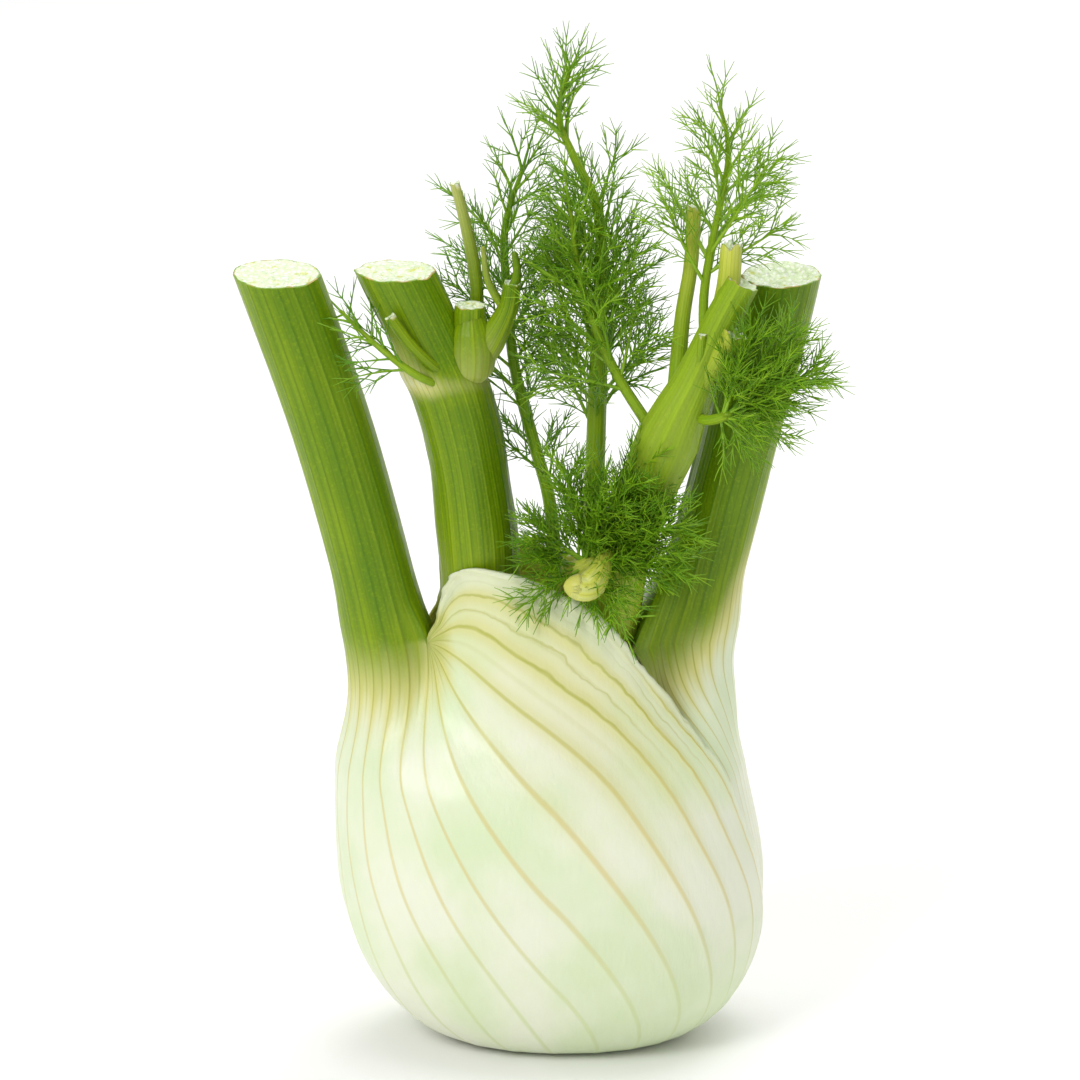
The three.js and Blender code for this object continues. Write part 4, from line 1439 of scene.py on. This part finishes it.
@dataclass
class RightLeaf:
    """The sheath and the cut stalk on the right, which the outer sheath's margins lie over."""

    finishes: Finishes
    stripes: int = 8
    cut_z: float = 172.6
    rows: int = 90
    row_power: float = 1.5
    stalk_rows: int = 56
    margin_from: float = 0.6
    tuck: float = 5.0
    thickness: float = 3.0
    rib: float = 0.09
    rib_width: float = 0.16
    top_fade: float = 6.0
    swell: float = 0.3
    foot_z: float = 9.0
    shoulder_swell: float = 2.2
    shoulder_bell: tuple[float, float] = (78.0, 9.0)
    shoulder_side: tuple[float, float] = (20.0, 60.0)
    green_from: tuple[float, float] = (58.0, 110.0)
    pale_shift: float = 26.0
    pale_width: float = 70.0
    stalk_fade: float = 24.0
    stalk_green: float = 0.97
    # painted highlight: paler green towards the stalk's silhouette edges, standing in for the sheen of light
    # along them
    painted_sheen_pale: float = 0.16
    painted_sheen_bell: tuple[float, float] = (95.0, 60.0)
    green_uneven: float = 0.03
    skin: StalkSkin = StalkSkin(0.09, 0.18, 0.06, 0.2, 0.02, 19)
    tear: float = 0.18
    tear_seed: int = 64
    cut_drop: float = 0.5
    dish: float = 1.6

    def build(self) -> bpy.types.Object:
        """Builds the piece.

        Returns:
            The piece.
        """
        parts = MeshParts()
        offsets = (-0.5, -0.25, -0.1, 0.0, 0.1, 0.25)
        numbers = np.array([k + o for k in range(-self.stripes, self.stripes + 1) for o in offsets])
        numbers = numbers[np.abs(numbers) <= self.stripes]
        share = numbers / self.stripes
        down = 1.0 - (1.0 - np.linspace(0.0, 1.0, self.rows)) ** self.row_power
        t = lerp(self.margin_from, 1.0, down)
        margin_angle, margin_z = FORM.vein_place(np.ones_like(t), t)
        size = share[:, None] * (180.0 - margin_angle + self.tuck)[None]
        z = np.broadcast_to(margin_z[None], size.shape)
        line = np.broadcast_to(np.abs(numbers)[:, None], z.shape)
        below = FORM.right_point(size, z, -self.relief(line, size, z))
        heights = np.linspace(self.cut_z, z[0, 0], self.stalk_rows)
        top_turn = FORM.stalk_turn(np.abs(size[:, 0])) * np.sign(share)
        above, green = self.stalk(top_turn, heights, below[:, 0], line[:, :1])
        down_green = self.greening(FORM.stalk_turn(np.abs(size)), z)
        marks = {
            Mark.LINE: np.concatenate([np.broadcast_to(line[:, :1], above.shape[:2])[:, :-1], line], axis=1),
            Mark.GREEN: np.concatenate([green[:, :-1], down_green], axis=1),
            Mark.TONE: np.concatenate([np.ones_like(green[:, :-1]), z / 100.0], axis=1),
        }
        parts.add_grid(np.concatenate([above[:, :-1], below], axis=1), marks, flip=True)
        closing = np.stack([above[-1], (above[-1] + above[0]) / 2.0 + np.array([-0.3, 0.0, 0.0]), above[0]])
        marks = {Mark.LINE: float(self.stripes), Mark.GREEN: 0.9, Mark.TONE: 1.0}
        parts.add_grid(closing, marks, flip=True)
        ring = np.concatenate([above[:, 0], closing[1:2, 0]])
        cap_rings(parts, ring, UP, self.dish, 1, seed=12)
        inside = FORM.right_point(size, z, self.thickness)
        parts.add_grid(inside, {Mark.GREEN: 0.05, Mark.TONE: z / 100.0})
        for column in (0, -1):
            strip = np.stack([below[column], inside[column]])
            parts.add_grid(strip, {Mark.TONE: z[0] / 100.0}, flip=column == -1)
        parts.add_grid(np.stack([below[:, -1], inside[:, -1]], axis=1), {Mark.TONE: 0.0}, flip=True)
        return parts.build("right_leaf_skin", [self.finishes.leaf, self.finishes.cut])

    def relief(self, line: Array, size: Array, z: Array) -> Array:
        """How far the sheath's skin stands out.

        Args:
            line: Stripe numbers.
            size: Angles from the right side in degrees.
            z: Heights, from the top down along the second axis.

        Returns:
            The relief in millimetres.
        """
        ribs = self.rib * ridge(line, self.rib_width)
        relief = ribs + self.swell * waves(size / 60.0, z * 0.02, 14) * smoothstep(z, 0.0, self.foot_z)
        relief = relief * smoothstep(z[0, 0] - z, 0.0, self.top_fade)
        side = 1.0 - smoothstep(np.abs(size), *self.shoulder_side)
        return relief + self.shoulder_swell * side * bell(z, *self.shoulder_bell)

    def greening(self, turn: Array, z: Array) -> Array:
        """How green the leaf grows upwards, later on its right side."""
        return smoothstep(z - self.pale_shift * bell(turn, 0.0, self.pale_width), *self.green_from)

    def stalk(self, turns: Array, heights: Array, foot: Array, line: Array) -> tuple[Array, Array]:
        """The skin of the stalk above the sheath.

        Args:
            turns: Angles of its columns in degrees, from the right side, positive through the front.
            heights: Heights of its rows, from the cut down.
            foot: Points that its columns meet.
            line: Stripe numbers of the columns.

        Returns:
            The points and how green they are.
        """
        turn, height = np.meshgrid(turns, heights, indexing="ij")
        height[:, 0] += self.tear * torn(turns, self.tear_seed) - self.cut_drop * np.sin(np.radians(turns))
        fade = 1.0 - smoothstep(height, heights[-1], heights[-1] + self.stalk_fade)
        relief = self.skin.relief(line, turn, height) * (1.0 - fade)
        points = RIGHT_STALK.point(180.0 - turn, height, -relief)
        lowest = RIGHT_STALK.point(180.0 - turns, np.full(len(turns), heights[-1]))
        points = points + (foot - lowest)[:, None] * fade[..., None]
        points[:, -1] = foot
        # Painted sheen: the green falls away from the camera-facing front, so the stalk's silhouette edges
        # come out paler as if catching light.
        edge = self.painted_sheen_pale * (1.0 - bell(np.abs(turn), *self.painted_sheen_bell)) * (1.0 - fade)
        uneven = self.green_uneven * waves(turn / 60.0, height * 0.02, 33)
        return points, self.greening(turn, height) * (self.stalk_green - edge + uneven)


@dataclass
class Heart:
    """The inner leaf bases on the trimmed root plate."""

    finishes: Finishes
    sides: int = 96
    right_edge: float = 8.0
    right_squeeze: float = 0.75
    inset: float = 6.2
    rib: float = 12.0
    rib_width: float = 0.15
    low_relief: tuple[float, float] = (0.2, 0.25)
    high_relief: tuple[float, float] = (0.3, 0.3)
    squeeze_z: tuple[float, float] = (50.0, 75.0)
    foot_z: float = 8.0
    low_top: float = 84.0
    low_rows: int = 40
    low_power: float = 1.6
    high_z: tuple[float, float] = (101.0, 66.0)
    high_rows: int = 26
    dome: float = 7.0
    dome_z: tuple[float, float] = (90.0, 104.0)
    throat_green: float = 0.35

    def build(self) -> bpy.types.Object:
        """Builds the piece.

        Returns:
            The piece.
        """
        parts = MeshParts()
        angles = np.linspace(-180.0, 180.0, self.sides, endpoint=False)
        z = self.low_top * np.linspace(1.0, 0.0, self.low_rows) ** self.low_power
        angle, height = np.meshgrid(angles, z, indexing="ij")
        rib, swell = self.low_relief
        ribs = ridge(angle / self.rib, self.rib_width)
        relief = rib * ribs + swell * waves(angle / 80.0, height * 0.03, 41)
        lower = FORM.sheath_point(angle, height, self.inset - relief * smoothstep(height, 0.0, self.foot_z))
        angle, height = np.meshgrid(angles, np.linspace(*self.high_z, self.high_rows), indexing="ij")
        dome = self.dome * smoothstep(height, *self.dome_z)
        rib, swell = self.high_relief
        ribs = ridge(angle / self.rib, self.rib_width)
        relief = rib * ribs + swell * waves(angle / 60.0, height * 0.05, 43)
        upper = FORM.collar_point(angle, height, self.inset + dome - relief)
        for grid, green in ((lower, 0.0), (upper, self.throat_green)):
            over = np.maximum(grid[..., 0] - self.right_edge, 0.0)
            grid[..., 0] -= over * smoothstep(grid[..., 2], *self.squeeze_z) * self.right_squeeze
            line = np.broadcast_to(np.abs(angles[:, None]) / self.rib, grid.shape[:2])
            marks = {Mark.LINE: line, Mark.GREEN: green, Mark.TONE: grid[..., 2] / 100.0}
            parts.add_grid(grid, marks, wrap=True)
        cap_rings(parts, upper[::-1, 0], UP, 1.0, 0, seed=44)
        cap_rings(parts, lower[:, -1], (0.0, 0.0, -1.0), 0.0, 2, seed=45)
        parts.points[-1][:, 2] = np.maximum(parts.points[-1][:, 2], 0.0)
        materials = [self.finishes.leaf, self.finishes.cut, self.finishes.root]
        return parts.build("heart_bases", materials)


@dataclass
class MiddleLeaf:
    """The middle stalk, its swollen node and the small cut stems above it."""

    finishes: Finishes
    node_z: float = 152.0
    top_z: float = 175.0
    slope: float = -0.48
    swell: float = 0.7
    bend_softness: float = 9.0
    stripes: int = 22
    foot_z: float = 90.0
    rows: int = 110
    node_bell: tuple[float, float] = (-0.5, 3.4)
    swell_bell: tuple[float, float] = (1.0, 4.5)
    # painted highlight: height and direction of the paler patch on the stalk's side that faces the light
    # above the node
    painted_highlight_bell: tuple[float, float] = (5.0, 8.0)
    painted_highlight_turn: float = 20.0
    stalk_green: float = 0.97
    least_green: float = 0.2
    node_pale: float = 0.36
    # painted highlight: how much paler the light-facing side above the node is painted
    painted_highlight_pale: float = 0.24
    # painted highlight: paler green towards the stalk's silhouette edges, standing in for the sheen of light
    # along them
    painted_sheen_pale: float = 0.2
    low_pale: float = 0.16
    low_z: float = 132.0
    low_fade: float = 30.0
    # where the painted edge sheen is absent: the stalk's camera-facing front
    painted_sheen_bell: tuple[float, float] = (118.0, 62.0)
    skin: StalkSkin = StalkSkin(0.1, 0.18, 0.0, 0.25, 0.03, 51)
    tear: float = 0.22
    tear_seed: int = 66

    def build(self) -> bpy.types.Object:
        """Builds the piece.

        Returns:
            The piece.
        """
        parts = MeshParts()
        turns = np.linspace(0.0, 360.0, self.stripes * 6, endpoint=False)
        z = np.linspace(self.top_z, self.foot_z, self.rows)
        turn, height = np.meshgrid(turns, z, indexing="ij")
        height[:, 0] += self.tear * torn(turns, self.tear_seed)
        line = turn / 360.0 * self.stripes
        above = height - self.node_z
        relief = self.skin.relief(line, turn, height) + self.swell * bell(above, *self.swell_bell)
        points = MIDDLE_STALK.point(turn, np.minimum(height, self.node_z), -relief)
        points[..., 0] += self.slope * (above + np.sqrt(above ** 2 + self.bend_softness)) / 2.0
        points[..., 2] = height
        marks = {Mark.LINE: line, Mark.GREEN: self.greening(turn, height), Mark.TONE: 0.9}
        parts.add_grid(points, marks, wrap=True)
        cap_rings(parts, points[::-1, 0], (-0.1, 0.0, 1.0), 0.5, 1, seed=53)
        for stem in self.stems():
            stem.add_to(parts)
        return parts.build("middle_leaf_skin", [self.finishes.leaf, self.finishes.cut])

    def greening(self, turn: Array, height: Array) -> Array:
        """How green the stalk is: paler at its node and low down, with painted highlights as paler green on
        its silhouette edges and on its side that faces the light just above the node.

        Args:
            turn: Angles in degrees.
            height: Heights.

        Returns:
            The green.
        """
        above = height - self.node_z
        node = self.node_pale * bell(above, *self.node_bell)
        # Painted highlight: the side facing the light, just above the node, is painted paler.
        facing_light = smoothstep(np.cos(np.radians(turn - self.painted_highlight_turn)), 0.2, 1.0)
        side = self.painted_highlight_pale * facing_light * bell(above, *self.painted_highlight_bell)
        # Painted sheen: the green falls away from the camera-facing front, so the silhouette edges come out
        # paler.
        edge = self.painted_sheen_pale * (1.0 - bell(way_round(turn), *self.painted_sheen_bell))
        low = self.low_pale * smoothstep(self.low_z - height, 0.0, self.low_fade)
        return np.maximum(self.stalk_green - node - side - edge - low, self.least_green)

    def stems(self) -> list[Stem]:
        """The small stems round the node.

        Returns:
            The rounded boss at the node, the stub, its branch with two tips, the pale stick behind and the
            low stub of the sprig.
        """
        boss = Course(
            [(-20.8, -2.6, 150.6), (-20.2, -3.9, 153.4), (-19.9, -4.6, 157), (-20.1, -4.2, 161.5),
             (-20.4, -3.8, 166)],
            [1.6, 4.6, 5.1, 4.4, 3],
        )
        stub = Course([(-21, -3.2, 154), (-20.8, -3.6, 160), (-20.5, -3.6, 168)], [4.2, 3.7, 3.3])
        branch = Course(
            [(-20, -3.8, 154.5), (-15.8, -5, 161), (-12.4, -5.2, 168), (-11.4, -5.2, 173.5)],
            [3.4, 3.2, 2.3, 1.8],
        )
        left_tip = Course([(-12.6, -5.2, 166.5), (-16.6, -5.6, 174), (-17.7, -5.6, 181.4)], [0.9, 0.8, 0.5])
        right_tip = Course([(-11.6, -5.2, 171), (-10.4, -5, 176), (-10.9, -5, 180)], [1.3, 0.9, 0.7])
        stick = Course(
            [(-19.5, 2, 150), (-19.2, 2.4, 171), (-21.4, 2.2, 184), (-23.8, 2, 193.8)],
            [1.6, 1.4, 1.3, 1],
        )
        low_stub = Course([(-25.5, -7, 152.6), (-33, -10.6, 161), (-37.7, -10.8, 167.6)], [1.5, 1.2, 1.2])
        return [
            Stem(boss, (0.5, 0.8), End.HIDDEN, sides=48, rows=44, stripes=9, relief=0.012),
            Stem(stub, (0.56, 0.85), relief=0.02),
            Stem(branch, (0.5, 0.92), relief=0.02),
            Stem(left_tip, (0.75, 0.6), End.TIP, sides=10, rows=16, stripes=5),
            Stem(right_tip, (0.9, 0.95), End.TIP, sides=10, rows=12, stripes=5),
            Stem(stick, (0.88, 0.52), sides=14, rows=30, stripes=6),
            Stem(low_stub, (0.8, 0.8), sides=14, rows=20, stripes=6),
        ]


@dataclass
class RightShoot:
    """The thick young side shoot with its cut stubs."""

    finishes: Finishes

    def build(self) -> bpy.types.Object:
        """Builds the piece.

        Returns:
            The piece.
        """
        parts = MeshParts()
        for stem in self.stems():
            stem.add_to(parts)
        return parts.build("right_shoot_skin", [self.finishes.young, self.finishes.cut])

    def stems(self) -> list[Stem]:
        """The shoot and its stubs.

        Returns:
            The shoot, its torn stub, its round stub, its low stub and the pale stick.
        """
        shoot = Course(
            [(10, -5, 91), (12, -7, 110), (16, -8.6, 124), (21, -11, 137), (24.5, -12, 146),
             (29, -12.5, 156), (33.5, -12.5, 167), (38, -12.5, 175.7)],
            [5.4, 5.8, 6, 6.2, 6.8, 4.9, 3.9, 3.6],
        )
        torn_stub = Course([(33, -12.3, 164), (35, -11, 175), (35.6, -10.6, 183.5)], [2.8, 2.4, 2.2])
        round_stub = Course([(27.5, -13.5, 150), (32.5, -16, 158.5), (36.4, -17, 165.5)], [2, 2.1, 2.6])
        low_stub = Course([(26.4, -13.5, 150), (28.8, -15.6, 158), (29.4, -15.8, 165)], [1.3, 1, 0.9])
        stick = Course(
            [(23.4, -9.5, 144), (25.3, -5, 166), (27, -4, 177), (27.7, -4, 190.4)],
            [2, 1.7, 1.5, 1.5],
        )
        return [
            Stem(shoot, (0.6, 0.7), sides=60, rows=110, stripes=14, relief=0.035, dish=0.3),
            Stem(torn_stub, (0.7, 0.4), sides=28, rows=26, stripes=8, relief=0.06, dish=1.4, tear=0.7),
            Stem(round_stub, (0.7, 0.5), sides=26, rows=24, stripes=8, relief=0.06, dish=0.4, tear=0.5),
            Stem(low_stub, (0.8, 0.7), sides=12, rows=18, stripes=5),
            Stem(stick, (0.8, 0.45), sides=16, rows=44, stripes=6),
        ]


@dataclass(frozen=True)
class Run:
    """A run of side branches along a stem."""

    start: float
    end: float
    branches: int
    reach: float
    tip_reach: float
    pitch: float = 42.0
    bias: float = 0.0


@dataclass(frozen=True)
class FrondPlan:
    """What one frond is made of."""

    name: str
    node: str
    seed: int
    points: tuple[Point, ...]
    radii: tuple[float, ...]
    runs: tuple[Run, ...] = ()
    ends: tuple[Point, ...] = ()
    tufts: int = 2
    spread: float = 2.6
    density: float = 1.0
    lightness: float = 0.5
    flatten: float = 0.75
    stem_green: float = 0.85
    stub: tuple[Point, ...] = ()
    stub_radii: tuple[float, ...] = ()


@dataclass
class Frond:
    """A frond: its stem, its branches and their fine threads."""

    plan: FrondPlan
    finishes: Finishes
    needle: float = 4.0
    fork: float = 1.6
    fork_pitch: tuple[float, float] = (8.0, 24.0)
    pitch: tuple[float, float] = (24.0, 46.0)
    turn_spread: float = 25.0
    whorl: tuple[float, float] = (60.0, 120.0)
    bare: float = 0.16
    gap: float = 2.5
    fine_gap: float = 0.72
    deepest: int = 1
    grown: tuple[float, float] = (0.58, 0.62)
    branch_radius: float = 0.2
    branch_growth: float = 0.014
    branch_green: tuple[float, float] = (0.35, 0.8)
    branch_tip: float = 0.12
    fine_extra: float = 0.03
    thread_radius: float = 0.19
    tip_radius: float = 0.07

    def __post_init__(self) -> None:
        """Starts the seeded draw and the collections."""
        self.draw = random.Random(self.plan.seed)
        self.twigs = Threads()
        self.fine = Threads()

    @staticmethod
    def lean(axis: Vector, pitch: float, azimuth: float) -> Vector:
        """A heading that leaves an axis.

        Args:
            axis: The axis.
            pitch: The angle between them in degrees.
            azimuth: The turn round the axis in degrees.

        Returns:
            The heading.
        """
        other = Vector((0.0, 1.0, 0.0)) if abs(axis.y) < 0.8 else Vector((1.0, 0.0, 0.0))
        across = axis.cross(other).normalized()
        turn = math.radians(azimuth)
        side = across * math.cos(turn) + axis.cross(across) * math.sin(turn)
        return (axis * math.cos(math.radians(pitch)) + side * math.sin(math.radians(pitch))).normalized()

    def twig(self, start: Vector, heading: Vector, length: float, depth: int) -> None:
        """Adds a branch with all that grows on it.

        Args:
            start: Where it starts.
            heading: Its heading.
            length: Its length.
            depth: 0 for a main branch, more for those on it.
        """
        draw = self.draw
        bow = Vector((draw.uniform(-1, 1), draw.uniform(-1, 1), draw.uniform(-0.2, 1.0))) * length * 0.1
        end = start + heading * length
        middle = (start + end) / 2 + bow
        tone = min(max(self.plan.lightness + draw.uniform(-0.35, 0.35), 0.0), 1.0)
        if depth > self.deepest or length < self.needle * 1.3:
            self.fine.add((start, middle, end), (self.thread_radius, self.tip_radius), 1.0, tone)
            return
        main = depth == 0
        radius = self.thread_radius + self.fine_extra
        if main:
            radius = self.branch_radius + self.branch_growth * length
        store = self.twigs if main else self.fine
        store.add((start, middle, end), (radius, self.branch_tip), self.branch_green[0 if main else 1], tone)
        gap = (self.gap if main else self.gap * self.fine_gap) / self.plan.density
        count = max(int(length * 0.86 / gap), 1)
        azimuth = draw.uniform(0.0, 360.0)
        for i in range(count):
            share = self.bare + (1.0 - self.bare) * (i + draw.uniform(0.3, 0.7)) / count
            place = start * (1 - share) ** 2 + middle * 2 * share * (1 - share) + end * share ** 2
            grown = length * self.grown[0 if main else 1] * (1.0 - 0.5 * share) * draw.uniform(0.75, 1.15)
            grown = max(grown, self.needle * draw.uniform(0.8, 1.2))
            azimuth += draw.uniform(*self.whorl)
            for side in (0.0, 180.0):
                pitch = draw.uniform(*self.pitch)
                turn = azimuth + side + draw.uniform(-self.turn_spread, self.turn_spread)
                self.twig(place, self.lean(heading, pitch, turn), grown * draw.uniform(0.8, 1.1), depth + 1)
        radii = (self.thread_radius * 0.8, self.tip_radius)
        for side in (0.0, 180.0):
            out = self.lean(heading, draw.uniform(*self.fork_pitch), azimuth + side)
            self.fine.add((end, end + out * self.fork, end + out * self.needle), radii, 1.0, tone)

    def build(self) -> bpy.types.Object:
        """Builds the piece.

        Returns:
            The piece.
        """
        plan = self.plan
        parts = MeshParts()
        course = Course(list(plan.points), list(plan.radii))
        rows = max(int(course.length / 1.6), 12)
        green = (plan.stem_green * 0.8, plan.stem_green)
        Stem(course, green, End.TIP, sides=14, rows=rows, stripes=6, relief=0.06).add_to(parts, 1)
        if plan.stub:
            stub = Course(list(plan.stub), list(plan.stub_radii))
            Stem(stub, (0.5, 0.34), End.TIP, sides=24, rows=24, stripes=8, relief=0.02).add_to(parts, 1)
        for run in plan.runs:
            self.grow(course, run)
        for place in plan.ends:
            for _ in range(plan.tufts):
                start = course.at(self.draw.uniform(0.8, 1.0))[0]
                jitter = Vector([self.draw.uniform(-1.0, 1.0) for _ in range(3)]) * plan.spread
                out = Vector(place) + jitter - start
                self.twig(start, out.normalized(), out.length, 0)
        self.twigs.add_to(parts, 5, 7)
        self.fine.add_to(parts, 3, 4)
        log.info("%s: %d threads", plan.name, len(self.fine.rows))
        return parts.build(plan.name, [self.finishes.frond, self.finishes.young])

    def grow(self, course: Course, run: Run) -> None:
        """Adds the branches of a run.

        Args:
            course: The stem's course.
            run: The run.
        """
        azimuth = self.draw.uniform(0.0, 360.0)
        for i in range(run.branches):
            share = lerp(run.start, run.end, (i + self.draw.uniform(0.2, 0.8)) / run.branches)
            start, axis = course.at(share)
            azimuth += GOLDEN_ANGLE + self.draw.uniform(-18.0, 18.0)
            out = self.lean(axis, run.pitch * self.draw.uniform(0.8, 1.2), azimuth)
            out.y *= self.plan.flatten
            out.x += run.bias
            length = lerp(run.reach, run.tip_reach, (i + 0.5) / run.branches)
            self.twig(start, out.normalized(), length * self.draw.uniform(0.75, 1.1), 0)
        start, axis = course.at(1.0)
        if run.end >= 1.0:
            self.twig(start, axis, run.tip_reach, 0)


FRONDS = (
    FrondPlan(
        "crown_frond_threads", "crown_frond", 11,
        ((5.6, 3, 93), (6.3, 3, 122), (7, 3, 145), (7.6, 3, 168), (7.8, 3, 180), (6.6, 3, 189),
         (1.4, 2.6, 200.5), (-1.4, 2, 208), (-0.8, 1, 214), (1.2, 0, 220)),
        (2.3, 2.2, 2.1, 2, 1.9, 1.6, 1.2, 1.0, 0.7, 0.4),
        (Run(0.33, 0.62, 18, 25, 22, 40.0), Run(0.56, 0.78, 18, 19, 13, 46.0, -0.3),
         Run(0.85, 1.0, 30, 11, 7, 38.0)),
        density=0.9, lightness=0.42, stem_green=0.8,
    ),
    FrondPlan(
        "dark_frond_threads", "dark_frond", 23,
        ((-1.5, 1, 93), (-3.4, 2, 122), (-6.6, 4, 134), (-11, 7, 151), (-12.5, 9, 166), (-13, 9, 182),
         (-9, 8, 196)),
        (1.5, 1.4, 1.3, 1.2, 1, 0.8, 0.4),
        (Run(0.28, 0.52, 10, 15, 14), Run(0.5, 1.0, 24, 21, 11)),
        lightness=0.3, stem_green=1.0, density=1.0,
    ),
    FrondPlan(
        "side_frond_threads", "side_frond", 37,
        ((20, -10.5, 140), (10.8, -6.5, 154), (5, -5.5, 168), (2.2, -4.5, 180), (1, -4, 190)),
        (1.3, 1.1, 0.9, 0.7, 0.4),
        (Run(0.22, 1.0, 20, 20, 11),),
        density=0.9,
    ),
    FrondPlan(
        "tall_frond_threads", "tall_frond", 41,
        ((30, -11, 158), (29.8, -7.4, 171), (31.6, -6, 183), (33.4, -5, 192), (34.8, -4, 200),
         (34.6, -3.6, 206), (33.2, -3, 212)),
        (1.1, 1, 0.9, 0.8, 0.7, 0.5, 0.4),
        (Run(0.24, 1.0, 19, 24, 8),),
        lightness=0.6, density=0.9,
    ),
    FrondPlan(
        "sprig_frond_threads", "sprig_frond", 53,
        ((-26, -6.6, 150.6), (-32, -11.2, 154.6), (-38.6, -10.8, 159.5), (-44, -6, 163), (-48.5, -1, 166)),
        (1, 0.9, 0.7, 0.5, 0.4),
        (Run(0.3, 1.0, 14, 12, 7),),
        lightness=0.2, density=0.8,
    ),
    FrondPlan(
        "bushy_frond_threads", "bushy_frond", 61,
        ((27, -12.5, 146), (31, -18, 146.6), (35, -20.5, 148.5)),
        (1.2, 1.1, 1),
        (),
        ((40, -20, 168), (47, -18, 163), (52, -16, 155), (49, -20, 145), (43, -21, 139), (35, -22, 139),
         (45, -25, 157), (38, -24, 161), (48, -23, 151), (41, -26, 147), (33, -22, 157)),
        lightness=0.45, density=1.2,
    ),
    FrondPlan(
        "low_frond_threads", "low_frond", 71,
        ((1.6, -3.5, 93), (0.6, -6, 103), (2.2, -10, 110), (6, -12.5, 112.6)),
        (2.1, 2.4, 2.3, 1.8),
        (),
        ((-10, -13, 113), (-8, -14, 117), (-7, -16, 107), (-9, -13, 122), (-1, -15, 131), (9, -20, 131),
         (19, -21, 127), (23, -22, 115), (15, -24, 106), (2, -19, 103), (14, -17, 134), (24, -19, 121),
         (10, -24, 117), (3, -18, 124)),
        lightness=0.4, density=1.25, stem_green=0.45,
        stub=((9, -16, 116), (7.2, -20, 112.6), (4.8, -22, 110.2), (2.4, -22.6, 110.4)),
        stub_radii=(1.5, 2.2, 3.2, 2.9),
    ),
)


@dataclass
class Studio:
    """The pale floor, the soft light and the camera."""

    elevation: float = 18.0
    distance: float = 1.9
    view_width: float = 0.2354
    target: Point = (-0.00545, 0.0, 0.1137)

    def build(self) -> None:
        """Sets everything up."""
        scene = bpy.context.scene
        self.add_floor()
        self.add_area("key", (-0.9, -1.1, 1.2), 0.7, 14.0)
        self.add_area("top", (0.1, 0.2, 1.5), 1.0, 11.0)
        self.add_area("back", (0.7, 1.1, 0.9), 1.0, 6.0)
        world = bpy.data.worlds.new("studio")
        world.use_nodes = True
        world.node_tree.nodes["Background"].inputs["Color"].default_value = (1.0, 1.0, 1.0, 1.0)
        world.node_tree.nodes["Background"].inputs["Strength"].default_value = 0.52
        scene.world = world
        scene.view_settings.view_transform = "Standard"
        self.add_camera()

    def add_floor(self) -> None:
        """Adds the plain pale floor."""
        tree = NodeTree("floor_pale")
        tree.surface(Base_Color=(0.92, 0.92, 0.91, 1.0), Roughness=0.9)
        mesh = bpy.data.meshes.new("floor")
        side = 6.0
        corners = [(-side, -side, 0.0), (side, -side, 0.0), (side, side, 0.0), (-side, side, 0.0)]
        mesh.from_pydata(corners, [], [(0, 1, 2, 3)])
        mesh.materials.append(tree.material)
        floor = bpy.data.objects.new("floor", mesh)
        floor.location.z = -0.0002
        bpy.context.scene.collection.objects.link(floor)

    def add_area(self, name: str, place: Point, size: float, energy: float) -> None:
        """Adds a soft lamp that looks at the object.

        Args:
            name: Its name.
            place: Where it stands.
            size: The side of its face.
            energy: Its power in watts.
        """
        lamp = bpy.data.lights.new(name, "AREA")
        lamp.size = size
        lamp.energy = energy
        holder = bpy.data.objects.new(name, lamp)
        holder.location = place
        holder.rotation_euler = (Vector(self.target) - Vector(place)).to_track_quat("-Z", "Y").to_euler()
        bpy.context.scene.collection.objects.link(holder)

    def add_camera(self) -> None:
        """Adds the camera with a long lens."""
        camera = bpy.data.cameras.new("camera")
        camera.sensor_width = 36.0
        camera.lens = camera.sensor_width * self.distance / self.view_width
        camera.clip_end = 20.0
        holder = bpy.data.objects.new("camera", camera)
        up = math.radians(self.elevation)
        offset = Vector((0.0, -math.cos(up), math.sin(up))) * self.distance
        holder.location = Vector(self.target) + offset
        holder.rotation_euler = (math.pi / 2.0 - up, 0.0, 0.0)
        bpy.context.scene.collection.objects.link(holder)
        bpy.context.scene.camera = holder


def main() -> None:
    """Builds the fennel bulb and its studio."""
    logging.basicConfig(level=logging.INFO, format="%(name)s: %(message)s")
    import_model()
    finishes = Finishes()
    hand_over(LeftLeaf(finishes).build(), "left_leaf")
    hand_over(RightLeaf(finishes).build(), "right_leaf")
    hand_over(Heart(finishes).build(), "heart")
    hand_over(MiddleLeaf(finishes).build(), "middle_leaf")
    hand_over(RightShoot(finishes).build(), "right_shoot")
    for plan in FRONDS:
        hand_over(Frond(plan, finishes).build(), plan.node)
    Studio().build()
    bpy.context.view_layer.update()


if __name__ == "__main__":
    main()
